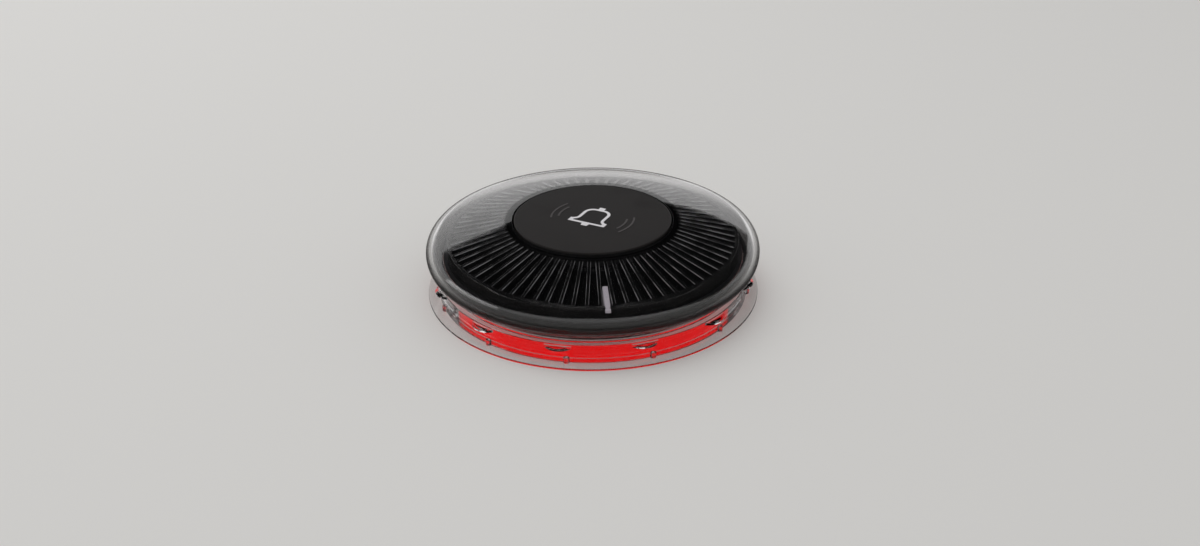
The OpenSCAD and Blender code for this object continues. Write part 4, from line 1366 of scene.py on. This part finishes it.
@dataclass
class Studio:
    """Plain pale floor, soft light and the camera.

    Directions round the button start behind it, as the camera sees it, and grow to the camera's right.

    Attributes:
        azimuth: Direction from -Y in which the camera stands.
        elevation: Height of the camera's aim.
        roll: Turn of the camera about its aim.
        distance: Distance of the camera along its aim.
        shift_right: Camera's offset to its right.
        shift_up: Camera's offset upwards.
        focal_px: Focal length in pixels of the photograph's frame.
        frame_px: Width of the photograph's frame in pixels.
        sensor: Width of the camera's sensor.
        clip: Nearest distance that the camera sees, in metres.
        floor: Colour of the floor, linear.
        floor_half: Half the floor's width.
        sky: Level of the white surround for sight and glass.
        gloss_share: Place between fill and sky of the level that gloss sees.
        fill: Level of the surround as a light on matt surfaces.
        painted_shadow_level: Share of the floor's colour under the painted shadow that mirror images see
            close to the button.
        painted_shadow_reach: Distances from the axis over which the painted shadow fades out to the whole
            colour.
        rear_draw: Share of a point's distance to the rear taken off its distance from the axis, to stretch
            the painted shadow.
        gloss_through: Share of the painted shadow kept for light that left a clear piece after a mirror
            bounce in it.
        open_reach: Radius of the floor's open patch under the bottom plate, which lets in light from below.
        flag_colour: Light of the dark flag, linear.
        flag_reach: Distance of the dark flag from the button.
        flag_edge: Directions round the button and the heights of the flag's edge there.
        flag_step: Angle between the flag's columns.
        flag_rows: Number of the flag's rows.
        flag_top: Share of the way to the zenith at which the flag ends.
        panel: Level of the side panel.
        panel_reach: Distance of the side panel.
        panel_turns: Directions round the button of the side panel's corners.
        panel_heights: Heights of those corners.
        key_power: Power of the key lamp in watts.
        key_size: Diameter of the key lamp in metres.
        key_place: Place of the key lamp to the camera's right, to its rear and above the floor, in metres.
    """

    azimuth: float = 27.0
    elevation: float = 28.018
    roll: float = -0.366
    distance: float = 247.02
    shift_right: float = 1.290
    shift_up: float = 2.143
    focal_px: float = 1300.0
    frame_px: float = 1200.0
    sensor: float = 36.0
    clip: float = 0.005
    floor: Colour = (0.80, 0.79, 0.77)
    floor_half: float = 3000.0
    sky: float = 1.0
    gloss_share: float = 0.4
    fill: float = 0.6
    painted_shadow_level: float = 0.12
    painted_shadow_reach: tuple[float, float] = (37.0, 52.0)
    rear_draw: float = 0.9
    gloss_through: float = 0.3
    open_reach: float = 24.3
    flag_colour: Colour = (0.008, 0.008, 0.009)
    flag_reach: float = 900.0
    flag_edge: tuple[tuple[float, float], ...] = (
        (-180, 28), (-130, 20), (-95, 8), (-74, 15), (-38, 29), (-18, 28.8), (-12, 27.5), (-7, 25.8),
        (6, 22.9), (10, 20.6), (18, 19.6), (30, 24), (74, 15), (95, 8), (130, 20), (180, 28))
    flag_step: float = 5.0
    flag_rows: int = 14
    flag_top: float = 0.995
    panel: float = 2.5
    panel_reach: float = 810.0
    panel_turns: tuple[float, ...] = (-118.0, -72.0, -72.0, -118.0)
    panel_heights: tuple[float, ...] = (1.0, 1.0, 14.0, 14.0)
    key_power: float = 1.0
    key_size: float = 0.5
    key_place: tuple[float, float, float] = (-0.3, 0.25, 0.55)

    def build(self) -> None:
        """Makes floor, surround, cards, lamp and camera."""
        self.lay_floor()
        self.light_surround()
        self.hang_flag()
        self.hang_side_panel()
        self.hang_lamp()
        self.place_camera()

    def view_axes(self) -> tuple[Vector, Vector, Vector]:
        """The camera's right, up and forward directions.

        Returns:
            Right, up and forward as unit vectors in the frame.
        """
        a, e, r = (math.radians(v) for v in (self.azimuth, self.elevation, self.roll))
        forward = Vector((-math.sin(a) * math.cos(e), math.cos(a) * math.cos(e), -math.sin(e)))
        right = Vector((math.cos(a), math.sin(a), 0))
        up = right.cross(forward)
        return right * math.cos(r) + up * math.sin(r), up * math.cos(r) - right * math.sin(r), forward

    def place_camera(self) -> None:
        """Puts the camera at the photograph's viewing angle."""
        right, up, forward = self.view_axes()
        lens = bpy.data.cameras.new("photo_camera")
        lens.sensor_width = self.sensor
        lens.lens = self.focal_px / self.frame_px * self.sensor
        lens.clip_start = self.clip
        camera = bpy.data.objects.new("photo_camera", lens)
        place = (right * self.shift_right + up * self.shift_up - forward * self.distance) * MM
        turn = Matrix((right, up, -forward)).transposed().to_4x4()
        camera.matrix_world = Matrix.Translation(place) @ turn
        bpy.context.scene.collection.objects.link(camera)
        bpy.context.scene.camera = camera

    def staged(self, name: str, points: np.ndarray, quads: np.ndarray) -> tuple[bpy.types.Object, Nodes]:
        """Makes a part of the studio with an empty material.

        Args:
            name: Name of the object and of its material.
            points: Corner points in millimetres.
            quads: Faces.

        Returns:
            The object and its material's node helper.
        """
        mesh = bpy.data.meshes.new(name)
        mesh.from_pydata((points * MM).tolist(), [], quads.tolist())
        material = bpy.data.materials.new(name)
        material.use_nodes = True
        mesh.materials.append(material)
        thing = bpy.data.objects.new(name, mesh)
        bpy.context.scene.collection.objects.link(thing)
        return thing, Nodes(material.node_tree)

    def lay_floor(self) -> None:
        """Lays a wide matt floor under the button, which a camera under it looks through."""
        corners = self.floor_half * np.array([(-1, -1, 0), (1, -1, 0), (1, 1, 0), (-1, 1, 0)])
        _, n = self.staged("floor", corners, np.array([[0, 1, 2, 3]]))
        place = n.add("ShaderNodeTexCoord").outputs["Object"]
        away = n.add("ShaderNodeVectorMath", operation="LENGTH", Vector=place).outputs["Value"]
        rays = n.add("ShaderNodeLightPath").outputs
        tone = self.floor_tone(n, place, away, rays)
        shader = n.add("ShaderNodeBsdfPrincipled", Roughness=0.9, Specular_IOR_Level=0.1, Base_Color=tone)
        behind = n.add("ShaderNodeNewGeometry").outputs["Backfacing"]
        from_below = n.math("MULTIPLY", rays["Is Camera Ray"], behind)
        patch = n.math("LESS_THAN", away, self.open_reach * MM)
        parted = n.add("ShaderNodeMixShader", Fac=n.math("MAXIMUM", from_below, patch))
        n.feed(parted.inputs[1], shader.outputs["BSDF"])
        n.feed(parted.inputs[2], n.add("ShaderNodeBsdfTransparent").outputs["BSDF"])
        n.add("ShaderNodeOutputMaterial", Surface=parted.outputs["Shader"])

    def floor_tone(
            self, n: Nodes, place: bpy.types.NodeSocket, away: bpy.types.NodeSocket,
            rays: bpy.types.NodeOutputs) -> bpy.types.NodeSocket:
        """The floor's colour, with a painted shadow near the button for light that has met a mirror surface.

        The painted shadow's distance that counts is away - rear_draw * max(d, 0), where the point lies d to
        the rear.

        Args:
            n: The floor's node helper.
            place: Object coordinates.
            away: Distance from the axis.
            rays: The outputs of the Light Path node.

        Returns:
            The colour.
        """
        turn = math.radians(self.azimuth)
        near, far = (*(c * self.painted_shadow_level for c in self.floor), 1), (*self.floor, 1)
        rear = n.add("ShaderNodeVectorMath", operation="DOT_PRODUCT", Vector=place)
        n.feed(rear.inputs[1], (-math.sin(turn), math.cos(turn), 0.0))
        drawn = n.math("MULTIPLY", n.math("MAXIMUM", rear.outputs["Value"], 0.0), self.rear_draw)
        counted = n.math("SUBTRACT", away, drawn)
        # Painted shadow round the button, seen only in mirror images.
        mirrored_painted_shadow = n.mix(near, far, n.remap(counted, *(r * MM for r in self.painted_shadow_reach)))
        passed = n.math("MULTIPLY", rays["Is Transmission Ray"], 1.0 - self.gloss_through)
        bounced = n.math("MINIMUM", rays["Glossy Depth"], 1.0)
        return n.mix(far, mirrored_painted_shadow, n.math("MULTIPLY", bounced, n.math("SUBTRACT", 1.0, passed)))

    def light_surround(self) -> None:
        """Gives the world a white level for sight and glass, and lower ones for gloss and matt surfaces."""
        world = bpy.data.worlds.new("surround")
        bpy.context.scene.world = world
        world.use_nodes = True
        n = Nodes(world.node_tree)
        rays = n.add("ShaderNodeLightPath").outputs
        through = n.math("MAXIMUM", rays["Is Camera Ray"], rays["Is Transmission Ray"])
        seen = n.math("MAXIMUM", through, n.math("MULTIPLY", rays["Is Glossy Ray"], self.gloss_share))
        level = n.add("ShaderNodeMapRange", Value=seen, To_Min=self.fill, To_Max=self.sky)
        shade = n.add("ShaderNodeBackground", Color=(1, 1, 1, 1), Strength=level.outputs["Result"])
        n.add("ShaderNodeOutputWorld", Surface=shade.outputs["Background"])

    def on_sphere(self, turns: np.ndarray, heights: np.ndarray, radius: float) -> np.ndarray:
        """Points on a sphere round the button: radius * (cos e sin a, cos e cos a, sin e).

        Args:
            turns: Directions round the button, in degrees.
            heights: Heights e over the floor, in degrees.
            radius: The sphere's radius.

        Returns:
            Array of shape (n, 3).
        """
        e = np.radians(heights)
        a = np.radians(turns - self.azimuth) + 0 * e
        return radius * np.stack([np.cos(e) * np.sin(a), np.cos(e) * np.cos(a), np.sin(e)], -1).reshape(-1, 3)

    def hang_flag(self) -> None:
        """Hangs a dark dome-shaped flag over the button, seen only in gloss and glass.

        Its lower edge e0 follows flag_edge round the button. At the share t from there to the zenith, its
        height is e0 + (90 - e0) * t.
        """
        turns, heights = np.array(self.flag_edge).T
        columns = np.arange(-180, 180, self.flag_step)
        low = np.interp(columns, turns, heights)
        share = np.linspace(0, self.flag_top, self.flag_rows)[:, None]
        points = self.on_sphere(columns, low + (90 - low) * share, self.flag_reach)
        self.card("dark_flag", points, grid_quads(self.flag_rows, len(columns)), self.flag_colour, 1.0)

    def hang_side_panel(self) -> None:
        """Stands a bright panel low on the button's left, seen only in gloss and glass."""
        turns, heights = np.array(self.panel_turns), np.array(self.panel_heights)
        points = self.on_sphere(turns, heights, self.panel_reach)
        self.card("side_panel", points, np.array([[0, 1, 2, 3]]), (1, 1, 1), self.panel)

    def card(
            self, name: str, points: np.ndarray, quads: np.ndarray, colour: Colour, strength: float) -> None:
        """Makes a glowing card without a shadow, which the camera and matt surfaces don't see.

        Args:
            name: The card's name.
            points: Corner points in millimetres.
            quads: Faces.
            colour: Colour of its light.
            strength: Strength of its light.
        """
        card, n = self.staged(name, points, quads)
        shade = n.add("ShaderNodeEmission", Color=(*colour, 1), Strength=strength)
        n.add("ShaderNodeOutputMaterial", Surface=shade.outputs["Emission"])
        card.visible_camera = False
        card.visible_diffuse = False
        card.visible_shadow = False

    def hang_lamp(self) -> None:
        """Hangs a wide soft lamp above and behind the button's left side."""
        lamp = bpy.data.lights.new("soft_key", "AREA")
        lamp.shape = "DISK"
        lamp.size = self.key_size
        lamp.energy = self.key_power
        right, _, forward = self.view_axes()
        ahead = Vector((forward.x, forward.y, 0)).normalized()
        aside, back, above = self.key_place
        place = Vector((0, 0, above)) + right * aside + ahead * back
        key = bpy.data.objects.new("soft_key", lamp)
        key.location = place
        key.rotation_mode = "QUATERNION"
        key.rotation_quaternion = (-place).to_track_quat("-Z", "Y")
        key.visible_glossy = False
        key.visible_transmission = False
        bpy.context.scene.collection.objects.link(key)


def main() -> None:
    """Builds the studio, the call button's sub-assemblies and their finishes, in order."""
    logging.basicConfig(level=logging.INFO, format="%(name)s: %(message)s")
    Studio().build()
    shop = Workshop()
    parts = (ClearBase(), SmokedDome(), FinRing(), IndicatorBar(), CapGuide(), PressCap(), Inside())
    for assembly in parts:
        assembly.build(shop)
    bpy.context.scene.view_settings.view_transform = "Standard"


if __name__ == "__main__":
    main()
